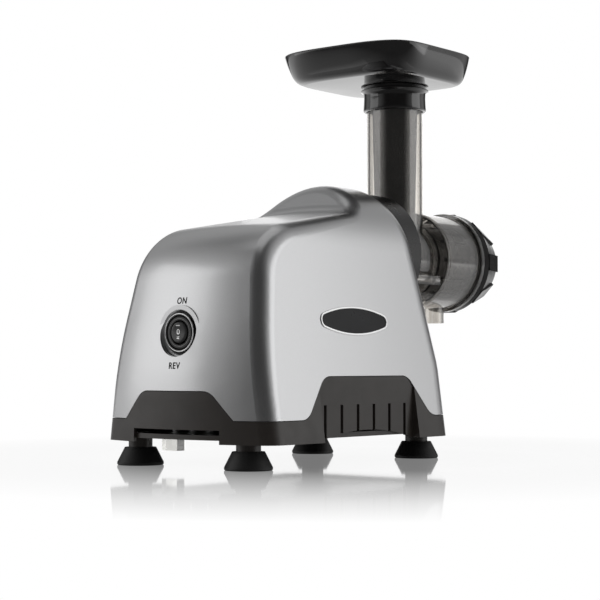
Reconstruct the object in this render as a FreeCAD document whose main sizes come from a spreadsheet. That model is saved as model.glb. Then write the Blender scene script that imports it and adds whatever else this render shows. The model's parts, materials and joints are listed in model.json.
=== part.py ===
import FreeCAD, Part
import math
import os
import re

import Sketcher

# Cold press juicer with a horizontal auger. The drum points along +X, the machine's left side is +Y and +Z is up.
# Lengths in the sheet are measured from the middle of the two rear feet and from the table, in millimetres.

doc = FreeCAD.newDocument("ColdPressJuicer")
Vector = FreeCAD.Vector

# Driving sizes

SIZES = {
    # Feet and base
    "foot_gap_x": "229", "foot_gap_y": "118", "foot_width": "38.5", "foot_top_width": "26",
    "foot_height": "14.7", "foot_lip": "2.4", "foot_bevel": "0.8", "stem_width": "19.8", "stem_height": "5.5", "screw_width": "4",
    "wall": "2.8", "fit_gap": "0.3", "slide_gap": "0.4", "shaft_gap": "0.05",
    "rear_reach": "25.4", "base_length": "270", "belt_height": "39", "front_x": "245.5",
    "rear_tab_height": "62", "rear_tab_top": "36.7", "rear_tab_foot": "58.5",
    "side_tab_height": "73.5", "side_tab_start": "38", "side_tab_rise": "64", "side_tab_crest": "180",
    "side_tab_end": "209", "panel_start": "56", "panel_end": "188", "seam_gap": "0.6", "slot_width": "3.6", "slot_pitch": "22",
    "slot_start": "65.5", "slot_top": "50", "slots": "6", "tab_round": "16", "arch_rise": "8.5", "notch_width": "93", "notch_height": "11",
    "floor_thickness": "4", "vent_slot_length": "46", "vent_slot_width": "4", "vent_pitch": "8",
    "vent_start": "150", "vents": "8", "floor_lift": "3", "gland_x": "14", "gland_y": "-28", "gland_width": "12",
    "gland_bore": "7", "gland_lip": "2", "clip_x": "12", "clip_y": "29", "clip_length": "9", "clip_width": "17",
    "clip_drop": "11.5",
    # Housing
    "axis_height": "181.6", "head_radius": "69.7", "head_drop": "9.7", "bow_radius": "240", "side_lean": "8", "lean_height": "88", "rear_tilt": "2", "rear_bend_round": "360",
    "shoulder_x": "-1.2", "shoulder_height": "191", "shoulder_round": "58", "roof_height": "217", "step_x": "144",
    "step_slope": "0.66", "step_depth": "30", "step_round": "16", "edge_round": "17", "front_lean": "37",
    "front_lean_height": "80", "front_round": "26", "form_top": "262", "bend_round": "90",
    # Switch
    "switch_height": "108.5", "dish_width": "39", "dish_floor_width": "31", "dish_depth": "4", "face_sink": "1.4",
    "bezel_width": "27.5", "rocker_width": "18.4", "switch_body_width": "25",
    "bezel_lift": "3", "rocker_gap": "0.8", "rocker_thickness": "4.4", "rocker_depth": "8", "rocker_pin": "2.4",
    "switch_body_depth": "22", "nose_opening": "62",
    # Motor and gears
    "motor_width": "92", "motor_start": "44", "bell_length": "16", "stator_length": "58",
    "rotor_width": "50", "motor_shaft_width": "8", "fan_width": "78",
    "fan_length": "8", "fan_gap": "2.5", "fan_blades": "9", "air_gap": "0.8", "winding_reach": "6",
    "bell_wall": "3", "bell_flange": "102", "bolt_width": "4", "cradle_width": "60", "capacitor_width": "32",
    "capacitor_length": "58", "tooth_foot": "0.98", "tooth_tip": "0.34", "pinion_lobe": "22",
    "pinion_teeth": "13", "lay_gear_teeth": "59", "lay_pinion_teeth": "12", "output_teeth": "48",
    "fine_module": "1", "coarse_module": "1.25", "shaft_drop": "56", "fine_face": "10", "coarse_face": "18",
    "lay_shaft_width": "10", "output_shaft_width": "12", "gear_case_wall": "4", "gear_clearance": "1.5",
    "bearing_wall": "5", "bearing_length": "6",
    # Drum, its chute and what is inside
    "seat_x": "238", "throat_length": "64", "throat_width": "70", "drum_wall": "3", "drum_width": "90",
    "drum_length": "58.5", "drum_lip_width": "95.4", "drum_lip": "4", "rear_wall": "4",
    "chute_x": "279.5", "chute_width": "52.5", "chute_wall": "2.6", "chute_seat": "12.5",
    "spout_x": "343", "spout_width": "20", "spout_drop": "59", "ledge_height": "8", "ledge_drop": "20.5",
    "auger_width": "61", "auger_core": "24", "auger_pitch": "30", "flight_thickness": "4",
    "screen_width": "68", "screen_wall": "1.6", "screen_slots": "12", "hub_width": "26", "hex_width": "13",
    "hub_depth": "10", "shaft_neck": "11.6", "shaft_grip": "14", "auger_start": "244.2", "drum_flange": "82",
    "plate_front": "241", "socket_rise": "5", "socket_wall": "7",
    "clip_boss": "13", "clip_thickness": "3.2", "clip_tab": "14", "plate_width": "114", "lock_y": "39", "lock_rise": "31",
    "cap_length": "46", "cap_end_width": "70", "cap_ribs": "8", "rib_width": "16", "rib_height": "1.6", "cap_band": "8", "cap_bevel": "5", "nozzle_bore": "20", "nozzle_width": "34", "nozzle_reach": "6",
    # Tray and pusher
    "tray_length": "133", "tray_width": "146", "tray_depth": "27", "tray_rim_height": "369.5",
    "tray_offset": "31", "tray_wall": "2.8", "tray_rear_flare": "17", "tray_front_flare": "6.5",
    "tray_side_flare": "12", "tray_corner": "36", "collar_width": "59", "collar_drop": "22", "collar_lip": "2.5",
    "collar_neck": "1.5", "pusher_width": "43.5", "pusher_end_width": "38",
    "pusher_clearance": "2.9", "pusher_head": "50", "pusher_head_height": "8",
}

# Places that follow from the driving sizes

PLACES = {
    "shoulder_end": "seat_x + throat_length",
    "drum_end": "shoulder_end + drum_length",
    "cap_end": "drum_end + cap_length",
    "overall_length": "rear_reach + cap_end + nozzle_reach",
    "zero_x": "rear_reach - overall_length / 2",
    "base_bottom": "foot_height + stem_height",
    "bow_centre": "bow_radius - rear_reach",
    "head_height": "axis_height - head_drop",
    "rear_slope": "(shoulder_x - rear_tilt + rear_reach) / (shoulder_height - lean_height)",
    "face_x": "rear_tilt - rear_reach + (switch_height - lean_height) * rear_slope + face_sink",
    "dish_floor": "face_x + dish_depth",
    "floor_bottom": "base_bottom + floor_lift",
    "base_half": "head_radius / cos(side_lean) + (head_height - base_bottom) * tan(side_lean)",
    "panel_half": "head_radius / cos(side_lean) + (head_height - side_tab_height) * tan(side_lean)",
    "motor_height": "axis_height - shaft_drop",
    "fine_centres": "(pinion_teeth + lay_gear_teeth) * fine_module / 2",
    "coarse_centres": "(lay_pinion_teeth + output_teeth) * coarse_module / 2",
    "lay_rise": "(fine_centres ^ 2 + shaft_drop ^ 2 - coarse_centres ^ 2) / (2 * shaft_drop)",
    "lay_side": "sqrt(fine_centres ^ 2 - lay_rise ^ 2)",
    "lay_height": "motor_height + lay_rise",
    "stator_start": "motor_start + bell_length",
    "stator_end": "stator_start + stator_length",
    "cover_start": "stator_end + 2 * bell_length",
    "cover_end": "cover_start + gear_case_wall + bearing_length",
    "fine_start": "cover_end + gear_clearance",
    "coarse_start": "fine_start + fine_face + 2 * gear_clearance",
    "case_inner_end": "coarse_start + coarse_face + gear_clearance",
    "case_end": "case_inner_end + gear_case_wall + bearing_length",
    "throat_radius": "throat_width / 2",
    "throat_bore": "throat_width / 2 - drum_wall",
    "drum_radius": "drum_width / 2",
    "socket_radius": "throat_radius + slide_gap",
    "tray_x": "chute_x - tray_offset",
    "tray_floor": "tray_rim_height - tray_depth",
    "hub_end": "seat_x - slide_gap",
    "chute_top": "tray_floor - chute_seat",
    "pusher_end_height": "axis_height + auger_width / 2 + pusher_clearance",
    "clip_level": "plate_front + socket_rise + 2 * slide_gap + drum_wall",
}


def fill_sheet(name, rows):
    """A sheet whose first column names what the second one holds."""
    sheet = doc.addObject("Spreadsheet::Sheet", name)
    for row, (alias, content) in enumerate(rows.items(), 1):
        sheet.set(f"A{row}", alias)
        sheet.set(f"B{row}", content)
        sheet.setAlias(f"B{row}", alias)
    return sheet


def named(formula):
    """The formula with each size's name led by its sheet's name."""
    def lead(word):
        if word[0] in SIZES:
            return "Sizes." + word[0]
        return "Places." + word[0] if word[0] in PLACES else word[0]
    return re.sub(r"[a-z_]+", lead, str(formula))


sizes = fill_sheet("Sizes", SIZES)
places = fill_sheet("Places", {alias: "=" + named(formula) for alias, formula in PLACES.items()})
doc.recompute()


def measure(formula):
    """What a formula comes to, as a plain number."""
    result = sizes.evalExpression(named(formula))
    return float(getattr(result, "Value", result))


def point(formulas):
    return Vector(*[measure(formula) for formula in formulas])


def bind(target, bindings):
    for setting, formula in bindings.items():
        target.setExpression(setting, named(formula))


def place(part, x="zero_x", y="0", z="0"):
    """Puts a part at its place; most are drawn from the middle of the rear feet."""
    bind(part, {"Placement.Base.x": x, "Placement.Base.y": y, "Placement.Base.z": z})
    return part


# Sketches and features

def body_named(label):
    body = doc.addObject("PartDesign::Body", label)
    body.Label = label
    return body


def origin_of(body, role):
    return next(feature for feature in body.Origin.OriginFeatures if feature.Role == role)


def sketch_on(body, role, offset="0"):
    """An empty sketch on one of the body's own planes, moved along its normal."""
    sketch = body.newObject("Sketcher::SketchObject", body.Label + "_sketch")
    sketch.AttachmentSupport = (origin_of(body, role), [""])
    sketch.MapMode = "FlatFace"
    bind(sketch, {"AttachmentOffset.Base.z": offset})
    return sketch


def pin(sketch, geometry, end, across, up):
    """Holds a point of the sketch at two distances from the origin."""
    for kind, formula in (("DistanceX", across), ("DistanceY", up)):
        index = sketch.addConstraint(Sketcher.Constraint(kind, -1, 1, geometry, end, measure(formula)))
        bind(sketch, {f"Constraints[{index}]": formula})


def add_outline(sketch, corners):
    """A closed outline of straight lines through corners given as pairs of formulas."""
    first = sketch.GeometryCount
    count = len(corners)
    spots = [Vector(measure(across), measure(up), 0) for across, up in corners]
    for index in range(count):
        sketch.addGeometry(Part.LineSegment(spots[index], spots[(index + 1) % count]))
    for index in range(count):
        joined = first + (index + 1) % count
        sketch.addConstraint(Sketcher.Constraint("Coincident", first + index, 2, joined, 1))
        pin(sketch, first + index, 1, *corners[index])
    return sketch


def add_circle(sketch, across, up, radius):
    centre = Vector(measure(across), measure(up), 0)
    index = sketch.addGeometry(Part.Circle(centre, Vector(0, 0, 1), measure(radius)))
    pin(sketch, index, 3, across, up)
    size = sketch.addConstraint(Sketcher.Constraint("Radius", index, measure(radius)))
    bind(sketch, {f"Constraints[{size}]": radius})
    return sketch


def add_rounded_rectangle(sketch, low, high, half_y, corner):
    """A rectangle between two places along the sketch whose corners are arcs, going round from its lower side."""
    inner_low, inner_high, inner_y = f"({low} + {corner})", f"({high} - {corner})", f"({half_y} - {corner})"
    ends = [(inner_low, f"-{half_y}"), (inner_high, f"-{half_y}"), (high, f"-{inner_y}"), (high, inner_y),
            (inner_high, half_y), (inner_low, half_y), (low, inner_y), (low, f"-{inner_y}")]
    centres = [(inner_high, f"-{inner_y}"), (inner_high, inner_y), (inner_low, inner_y), (inner_low, f"-{inner_y}")]
    spots = [Vector(measure(across), measure(up), 0) for across, up in ends]
    radius = measure(corner)
    for side, centre in enumerate(centres):
        sketch.addGeometry(Part.LineSegment(spots[2 * side], spots[2 * side + 1]))
        circle = Part.Circle(Vector(measure(centre[0]), measure(centre[1]), 0), Vector(0, 0, 1), radius)
        sketch.addGeometry(Part.ArcOfCircle(circle, (side - 1) * math.pi / 2, side * math.pi / 2))
    for side in range(4):
        line, arc, following = 2 * side, 2 * side + 1, (2 * side + 2) % 8
        pin(sketch, line, 1, *ends[2 * side])
        pin(sketch, line, 2, *ends[2 * side + 1])
        sketch.addConstraint(Sketcher.Constraint("Coincident", line, 2, arc, 1))
        sketch.addConstraint(Sketcher.Constraint("Coincident", arc, 2, following, 1))
        size = sketch.addConstraint(Sketcher.Constraint("Radius", arc, radius))
        bind(sketch, {f"Constraints[{size}]": corner})
    return sketch


def pad(body, sketch, length, both_ways=False):
    feature = body.newObject("PartDesign::Pad", body.Label + "_pad")
    feature.Profile = (sketch, [""])
    feature.Midplane = both_ways
    bind(feature, {"Length": length})
    doc.recompute()
    return feature


def pocket(body, sketch, length, both_ways=False, backward=False):
    """A cut that has to take something away."""
    before = body.Shape.Volume
    feature = body.newObject("PartDesign::Pocket", body.Label + "_pocket")
    feature.Profile = (sketch, [""])
    feature.Midplane = both_ways
    feature.Reversed = backward
    bind(feature, {"Length": length})
    doc.recompute()
    if body.Shape.Volume >= before:
        raise RuntimeError(body.Label + ": a pocket cut nothing")
    return feature


def revolve(body, corners, axis="H_Axis", groove=False):
    """Turns an outline on the XZ plane about one of the sketch's axes."""
    kind = "Groove" if groove else "Revolution"
    sketch = add_outline(sketch_on(body, "XZ_Plane"), corners)
    feature = body.newObject("PartDesign::" + kind, body.Label + "_turned")
    feature.Profile = (sketch, [""])
    feature.ReferenceAxis = (sketch, [axis])
    feature.Angle = 360
    doc.recompute()
    return feature


def edges_through(shape, spots):
    """The names of the edges that pass through the given points."""
    found = []
    for spot in spots:
        vertex = Part.Vertex(spot)
        near = [index for index, edge in enumerate(shape.Edges, 1) if edge.distToShape(vertex)[0] < 0.02]
        found.extend(f"Edge{index}" for index in near)
    return sorted(set(found))


def round_edges(body, radius, spots, kind="Fillet"):
    """Rounds or bevels the edges that pass through points given as three formulas each."""
    base = body.Tip
    names = edges_through(base.Shape, [point(spot) for spot in spots])
    if not names:
        raise RuntimeError(body.Label + ": no edge to round")
    feature = body.newObject("PartDesign::" + kind, body.Label + "_rounded")
    feature.Base = (base, names)
    bind(feature, {"Radius" if kind == "Fillet" else "Size": radius})
    doc.recompute()
    return feature


def ring_of(body, features, count, axis="X_Axis"):
    """Repeats features round one of the body's axes."""
    pattern = body.newObject("PartDesign::PolarPattern", body.Label + "_ring")
    pattern.Originals = features
    pattern.Axis = (origin_of(body, axis), [""])
    pattern.Angle = 360
    bind(pattern, {"Occurrences": count})
    body.Tip = pattern
    doc.recompute()
    return pattern


def row_of(body, features, count, pitch, axis="X_Axis"):
    """Repeats features along one of the body's axes."""
    pattern = body.newObject("PartDesign::LinearPattern", body.Label + "_row")
    pattern.Originals = features
    pattern.Direction = (origin_of(body, axis), [""])
    bind(pattern, {"Occurrences": count, "Length": f"({count} - 1) * ({pitch})"})
    body.Tip = pattern
    doc.recompute()
    return pattern


def turned(label, corners, height="0", side="0", axis="H_Axis", x="zero_x"):
    """A round part from one outline, turned about its own long axis."""
    body = body_named(label)
    revolve(body, corners, axis)
    return place(body, x, side, height)


def tube(start, end, outer, inner):
    """The outline of a tube along X."""
    return [(start, inner), (end, inner), (end, outer), (start, outer)]


def box(label, x, y, z, length, width, height):
    part = doc.addObject("Part::Box", label)
    bind(part, {"Length": length, "Width": width, "Height": height})
    return place(part, x, y, z)


def cylinder(label, radius, height, x, y, z, along="Z"):
    part = doc.addObject("Part::Cylinder", label)
    bind(part, {"Radius": radius, "Height": height})
    if along == "X":
        part.Placement.Rotation = FreeCAD.Rotation(Vector(0, 1, 0), 90)
    if along == "Y":
        part.Placement.Rotation = FreeCAD.Rotation(Vector(1, 0, 0), -90)
    return place(part, x, y, z)


def joined(label, pieces):
    part = doc.addObject("Part::MultiFuse", label)
    part.Shapes = pieces
    doc.recompute()
    return part


def cut(label, base, tool):
    part = doc.addObject("Part::Cut", label)
    part.Base = base
    part.Tool = tool
    doc.recompute()
    return part


def common(label, base, tool):
    part = doc.addObject("Part::Common", label)
    part.Base = base
    part.Tool = tool
    doc.recompute()
    return part


def group(label, pieces):
    """Separate solids of one kind in one part."""
    part = doc.addObject("Part::Compound", label)
    part.Links = pieces
    doc.recompute()
    return part


# Housing form, used for the outer surface and, drawn in by the wall, for the hollow inside

def add_head_section(sketch, inset):
    """The outline seen from the front: leaning sides that run into a round top."""
    radius = f"(head_radius - {inset})"
    half = f"(base_half - {inset} / cos(side_lean))"
    low = f"(base_bottom - {inset} * 2)"
    foot = f"({half} + {inset} * 2 * tan(side_lean))"
    corners = [(f"-{foot}", low), (foot, low)]
    spots = [Vector(measure(across), measure(up), 0) for across, up in corners]
    lean = math.radians(measure("side_lean"))
    reach = measure(radius)
    centre = Vector(0, measure("head_height"), 0)
    right = centre + Vector(reach * math.cos(lean), reach * math.sin(lean), 0)
    left = Vector(-right.x, right.y, 0)
    first = sketch.GeometryCount
    path = [left] + spots + [right]
    for start, end in zip(path, path[1:]):
        sketch.addGeometry(Part.LineSegment(start, end))
    circle = Part.Circle(centre, Vector(0, 0, 1), reach)
    arc = sketch.addGeometry(Part.ArcOfCircle(circle, lean, math.pi - lean))
    for index, corner in enumerate(corners):
        sketch.addConstraint(Sketcher.Constraint("Coincident", first + index, 2, first + index + 1, 1))
        pin(sketch, first + index, 2, *corner)
    pin(sketch, arc, 3, "0", "head_height")
    size = sketch.addConstraint(Sketcher.Constraint("Radius", arc, reach))
    bind(sketch, {f"Constraints[{size}]": radius})
    sketch.addConstraint(Sketcher.Constraint("Tangent", first + 2, 2, arc, 1))
    sketch.addConstraint(Sketcher.Constraint("Tangent", first, 1, arc, 2))
    return sketch


def housing_form(label, inset):
    """What a bowed rear block, a front block and the front outline have in common, with its edges rounded."""
    body = body_named(label)
    low = f"base_bottom - {inset} * 2"
    rear = f"{inset} - rear_reach"
    step = (f"step_x + {inset} * 0.5", f"roof_height - {inset}")
    lean = (f"{rear} + rear_tilt", "lean_height")
    shoulder = (f"shoulder_x + {inset}", f"shoulder_height - {inset}")
    front = (f"front_x - {inset}", "front_lean_height")
    pad(body, add_outline(sketch_on(body, "XZ_Plane"), [
        (f"{step[0]} - step_slope * step_depth", low),
        (f"{step[0]} - step_slope * step_depth", f"{step[1]} - step_depth"),
        (f"{step[0]} + step_slope * (form_top - ({step[1]}))", "form_top"),
        (f"front_x - front_lean - {inset}", "form_top"),
        front,
        (f"front_x - {inset}", low)]), "base_length", both_ways=True)
    roof_slope = f"({step[1]} - ({shoulder[1]})) / ({step[0]} - ({shoulder[0]}))"
    inner_end = (f"{step[0]} + step_depth", f"{step[1]} + step_depth * {roof_slope}")
    profile = [(rear, low), lean, shoulder, inner_end, (inner_end[0], low)]
    sketch = sketch_on(body, "XZ_Plane")
    bind(sketch, {"AttachmentOffset.Base.x": "bow_centre"})
    add_outline(sketch, [(f"{across} - bow_centre", up) for across, up in profile])
    bowed = body.newObject("PartDesign::Revolution", label + "_bowed")
    bowed.Profile = (sketch, [""])
    bowed.ReferenceAxis = (sketch, ["V_Axis"])
    bowed.Midplane = True
    bowed.Angle = 90
    doc.recompute()
    for bend, radius in ((lean, f"rear_bend_round + {inset}"), (front, "bend_round")):
        round_edges(body, radius, [(bend[0], "0", bend[1])])
    round_edges(body, f"shoulder_round - {inset}", [(shoulder[0], "0", shoulder[1])])
    round_edges(body, f"step_round + {inset}", [(step[0], "0", step[1])])
    around = add_outline(sketch_on(body, "YZ_Plane", "-base_length"), [
        ("-base_length", "-base_length"), ("base_length", "-base_length"),
        ("base_length", "base_length * 2"), ("-base_length", "base_length * 2")])
    pocket(body, add_head_section(around, inset), "base_length * 3", backward=True)
    side = f"((head_radius - {inset}) / cos(side_lean) + (head_height - belt_height) * tan(side_lean))"
    rear_spot = f"({rear} + rear_tilt * (belt_height - ({low})) / (lean_height - ({low})))"
    corner = f"bow_centre - sqrt((bow_centre - {rear_spot}) ^ 2 - {side} ^ 2)"
    for across, radius in ((corner, "edge_round"), (f"front_x - {inset}", "front_round")):
        round_edges(body, f"{radius} - {inset}", [(across, f"{hand} * {side}", "belt_height") for hand in (1, -1)])
    return body


outer_form = housing_form("outer_form", "0")
inner_form = housing_form("inner_form", "wall")


# Seam between the dark skirt and the silver housing

def seam_block():
    """All that lies below the seam, with its raised tabs at the sides and at both ends."""
    reach = "base_length * 2"
    sides = body_named("seam_sides")
    side_bends = [("side_tab_start", "belt_height"), ("side_tab_rise", "side_tab_height"),
                  ("side_tab_crest", "side_tab_height"), ("side_tab_end", "belt_height")]
    outline = [(f"-{reach}", "0"), (f"-{reach}", "belt_height")] + side_bends
    outline += [(reach, "belt_height"), (reach, "0")]
    pad(sides, add_outline(sketch_on(sides, "XZ_Plane"), outline), reach, both_ways=True)
    round_edges(sides, "tab_round", [(along, "0", up) for along, up in side_bends])
    ends = body_named("seam_ends")
    end_bends = [("-rear_tab_foot", "belt_height"), ("-rear_tab_top", "rear_tab_height"),
                 ("rear_tab_top", "rear_tab_height"), ("rear_tab_foot", "belt_height")]
    outline = [("-rear_tab_foot", "0")] + end_bends + [("rear_tab_foot", "0")]
    pad(ends, add_outline(sketch_on(ends, "YZ_Plane"), outline), reach, both_ways=True)
    round_edges(ends, "tab_round", [("0", across, up) for across, up in end_bends[1:3]])
    return joined("seam_block", [sides, ends])


seam = seam_block()
lowered_seam = group("lowered_seam", [seam])
bind(lowered_seam, {"Placement.Base.z": "-seam_gap"})
whole_wall = cut("whole_wall", outer_form, inner_form)


# Housing

def make_housing_shell():
    """Silver moulding, cut off at the seam, with the switch dish and the opening for the gearbox nose."""
    boss = cylinder("dish_boss", "dish_width / 2 + wall", "dish_depth + wall",
                    "face_x + 1", "0", "switch_height", along="X")
    upper = cut("housing_upper", whole_wall, seam)
    dish = turned("dish_tool", [
        ("face_x - 20", "0"), ("face_x - 20", "dish_width / 2"), ("face_x", "dish_width / 2"),
        ("dish_floor", "dish_floor_width / 2"), ("dish_floor", "switch_body_width / 2 + shaft_gap"),
        ("face_x + 30", "switch_body_width / 2 + shaft_gap"), ("face_x + 30", "0")], "switch_height", x="0")
    nose = cylinder("nose_tool", "nose_opening / 2", "head_radius", "front_x - head_radius", "0",
                    "axis_height", along="X")
    shell = cut("housing_shell", joined("housing_solid", [upper, boss]), joined("housing_tools", [dish, nose]))
    return place(shell)


def side_boxes(label, start, end, inside, top):
    """A block on each side, from a given half width outward."""
    left = box(label + "_left", start, inside, "0", f"{end} - ({start})", "base_length", top)
    right = box(label + "_right", start, f"-({inside}) - base_length", "0", f"{end} - ({start})", "base_length", top)
    return [left, right]


def make_base_skirt():
    """Dark moulding below the seam, with recessed slotted side panels, an arched edge and a rear notch."""
    recess = joined("panel_recess", side_boxes("recess", "panel_start", "panel_end", "panel_half",
                                               "side_tab_height"))
    backing = joined("panel_backing", side_boxes("backing", "panel_start - wall", "panel_end + wall",
                                                 "panel_half - wall", "side_tab_height + wall"))
    outside = cut("skirt_outside", outer_form, recess)
    inside = cut("skirt_inside", inner_form, backing)
    wall = cut("skirt_wall", outside, inside)
    lower = common("skirt_lower", wall, lowered_seam)
    slot = body_named("slot_tool")
    half = "slot_width / 2"
    corners = [(f"slot_start - {half}", "0"), (f"slot_start + {half}", "0"),
               (f"slot_start + {half}", "slot_top"), (f"slot_start - {half}", "slot_top")]
    first = pad(slot, add_outline(sketch_on(slot, "XZ_Plane"), corners), "base_length", both_ways=True)
    row_of(slot, [first], "slots", "slot_pitch")
    chord = "(panel_end - panel_start)"
    radius = f"(({chord} ^ 2 / 4 + arch_rise ^ 2) / (2 * arch_rise))"
    arch = cylinder("arch_tool", radius, "base_length", f"panel_start + {chord} / 2", "-base_length / 2",
                    f"base_bottom + arch_rise - {radius}", along="Y")
    notch = box("notch_tool", "-rear_reach * 2", "-notch_width / 2", "0", "rear_reach * 2 - wall * 2",
                "notch_width", "base_bottom + notch_height")
    skirt = cut("base_skirt", lower, joined("skirt_tools", [slot, arch, notch]))
    return place(skirt), inside


housing_shell = make_housing_shell()
base_skirt, skirt_inside = make_base_skirt()


FEET = [("rear", "left", "0", "foot_gap_y / 2"), ("rear", "right", "0", "-foot_gap_y / 2"),
        ("front", "left", "foot_gap_x", "foot_gap_y / 2"), ("front", "right", "foot_gap_x", "-foot_gap_y / 2")]


def make_bottom_plate():
    """Floor of the base with its four stems, screw holes and a row of vents."""
    slab = box("floor_slab", "-rear_reach * 2", "-base_length / 2", "floor_bottom", "base_length * 2",
               "base_length", "floor_thickness")
    floor = common("floor_plain", skirt_inside, slab)
    stems = [cylinder(f"stem_{end}_{side}", "stem_width / 2", "floor_bottom - foot_height", x, y, "foot_height")
             for end, side, x, y in FEET]
    holes = [cylinder(f"stem_hole_{end}_{side}", "screw_width / 2", "base_bottom", x, y, "foot_height - 1")
             for end, side, x, y in FEET]
    vent = body_named("vent_tool")
    low, high = "vent_start", "vent_start + vent_slot_width"
    corners = [(low, "-vent_slot_length / 2"), (high, "-vent_slot_length / 2"),
               (high, "vent_slot_length / 2"), (low, "vent_slot_length / 2")]
    first = pad(vent, add_outline(sketch_on(vent, "XY_Plane"), corners), "base_bottom * 2")
    row_of(vent, [first], "vents", "vent_pitch")
    gland = cylinder("gland_hole", "gland_width / 2", "base_bottom", "gland_x", "gland_y", "base_bottom")
    tools = joined("floor_tools", holes + [vent, gland])
    return place(cut("bottom_plate", joined("floor_solid", [floor] + stems), tools))


def make_foot(label, x, y):
    """Rubber foot: a cone with a lip and a counterbore for its screw."""
    bore, well = "screw_width / 2 + fit_gap", "screw_width * 1.8"
    outline = [(bore, "foot_height"), ("foot_top_width / 2", "foot_height"), ("foot_width / 2", "foot_lip"),
               ("foot_width / 2", "foot_bevel"), ("foot_width / 2 - foot_bevel", "0"), (well, "0"),
               (well, "foot_height / 2"), (bore, "foot_height / 2")]
    return turned(label, outline, axis="V_Axis", x=f"zero_x + {x}", side=y)


def make_screw(label, x, y, z, head, depth):
    """Pan-head screw pointing up from the underside of its head."""
    radius, rim = "screw_width / 2", "screw_width * 1.3"
    outline = [("0", f"-{head}"), (rim, f"-{head}"), (rim, "0"), (radius, "0"), (radius, depth), ("0", depth)]
    return turned(label, outline, axis="V_Axis", x=x, side=y, height=z)


bottom_plate = make_bottom_plate()
feet = [make_foot(f"foot_{end}_{side}", x, y) for end, side, x, y in FEET]
foot_screws = place(group("foot_screws", [
    make_screw(f"foot_screw_{end}_{side}", x, y, "foot_height / 2", "2.6", "foot_height / 2 + stem_height")
    for end, side, x, y in FEET]))
cord_gland = turned("cord_gland", [
    ("gland_bore / 2", "-gland_lip"), ("gland_width / 2 + gland_lip", "-gland_lip"),
    ("gland_width / 2 + gland_lip", "0"), ("gland_width / 2", "0"), ("gland_width / 2", "floor_thickness"),
    ("gland_bore / 2", "floor_thickness")], axis="V_Axis", x="zero_x + gland_x", side="gland_y", height="floor_bottom")
cord_clip = box("cord_clip", "zero_x + clip_x", "clip_y", "floor_bottom - clip_drop", "clip_length", "clip_width",
                "clip_drop")


# Switch

def make_switch_bezel():
    """Round bezel with the pocket that the rocker tilts in and the switch body behind it."""
    body = body_named("switch_bezel")
    front = "dish_floor - bezel_lift"
    pocket_radius = "rocker_width / 2 + rocker_gap"
    revolve(body, [
        (front, pocket_radius), (front, "bezel_width / 2 - 1"), (f"{front} + 1", "bezel_width / 2"),
        ("dish_floor", "bezel_width / 2"), ("dish_floor", "switch_body_width / 2"),
        ("dish_floor + switch_body_depth", "switch_body_width / 2"), ("dish_floor + switch_body_depth", "0"),
        (f"{front} + rocker_depth", "0"), (f"{front} + rocker_depth", pocket_radius)])
    pin_hole = add_circle(sketch_on(body, "XZ_Plane"), f"{front} + rocker_thickness / 2", "0",
                          "rocker_pin / 2 + shaft_gap")
    pocket(body, pin_hole, "rocker_width + 3", both_ways=True)
    return place(body, z="switch_height")


def make_rocker():
    """Round rocker on a pin across the switch."""
    body = body_named("rocker")
    half = "rocker_thickness / 2"
    revolve(body, [(f"-{half}", "0"), (f"-{half} + 0.6", "rocker_width / 2 - 0.6"),
                   (f"{half}", "rocker_width / 2 - 0.6"), (half, "0")])
    pad(body, add_circle(sketch_on(body, "XZ_Plane"), "0", "0", "rocker_pin / 2"), "rocker_width + 2", both_ways=True)
    return place(body, x=f"zero_x + dish_floor - bezel_lift + {half}", z="switch_height")


switch_bezel = make_switch_bezel()
rocker = make_rocker()


# Motor

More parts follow.
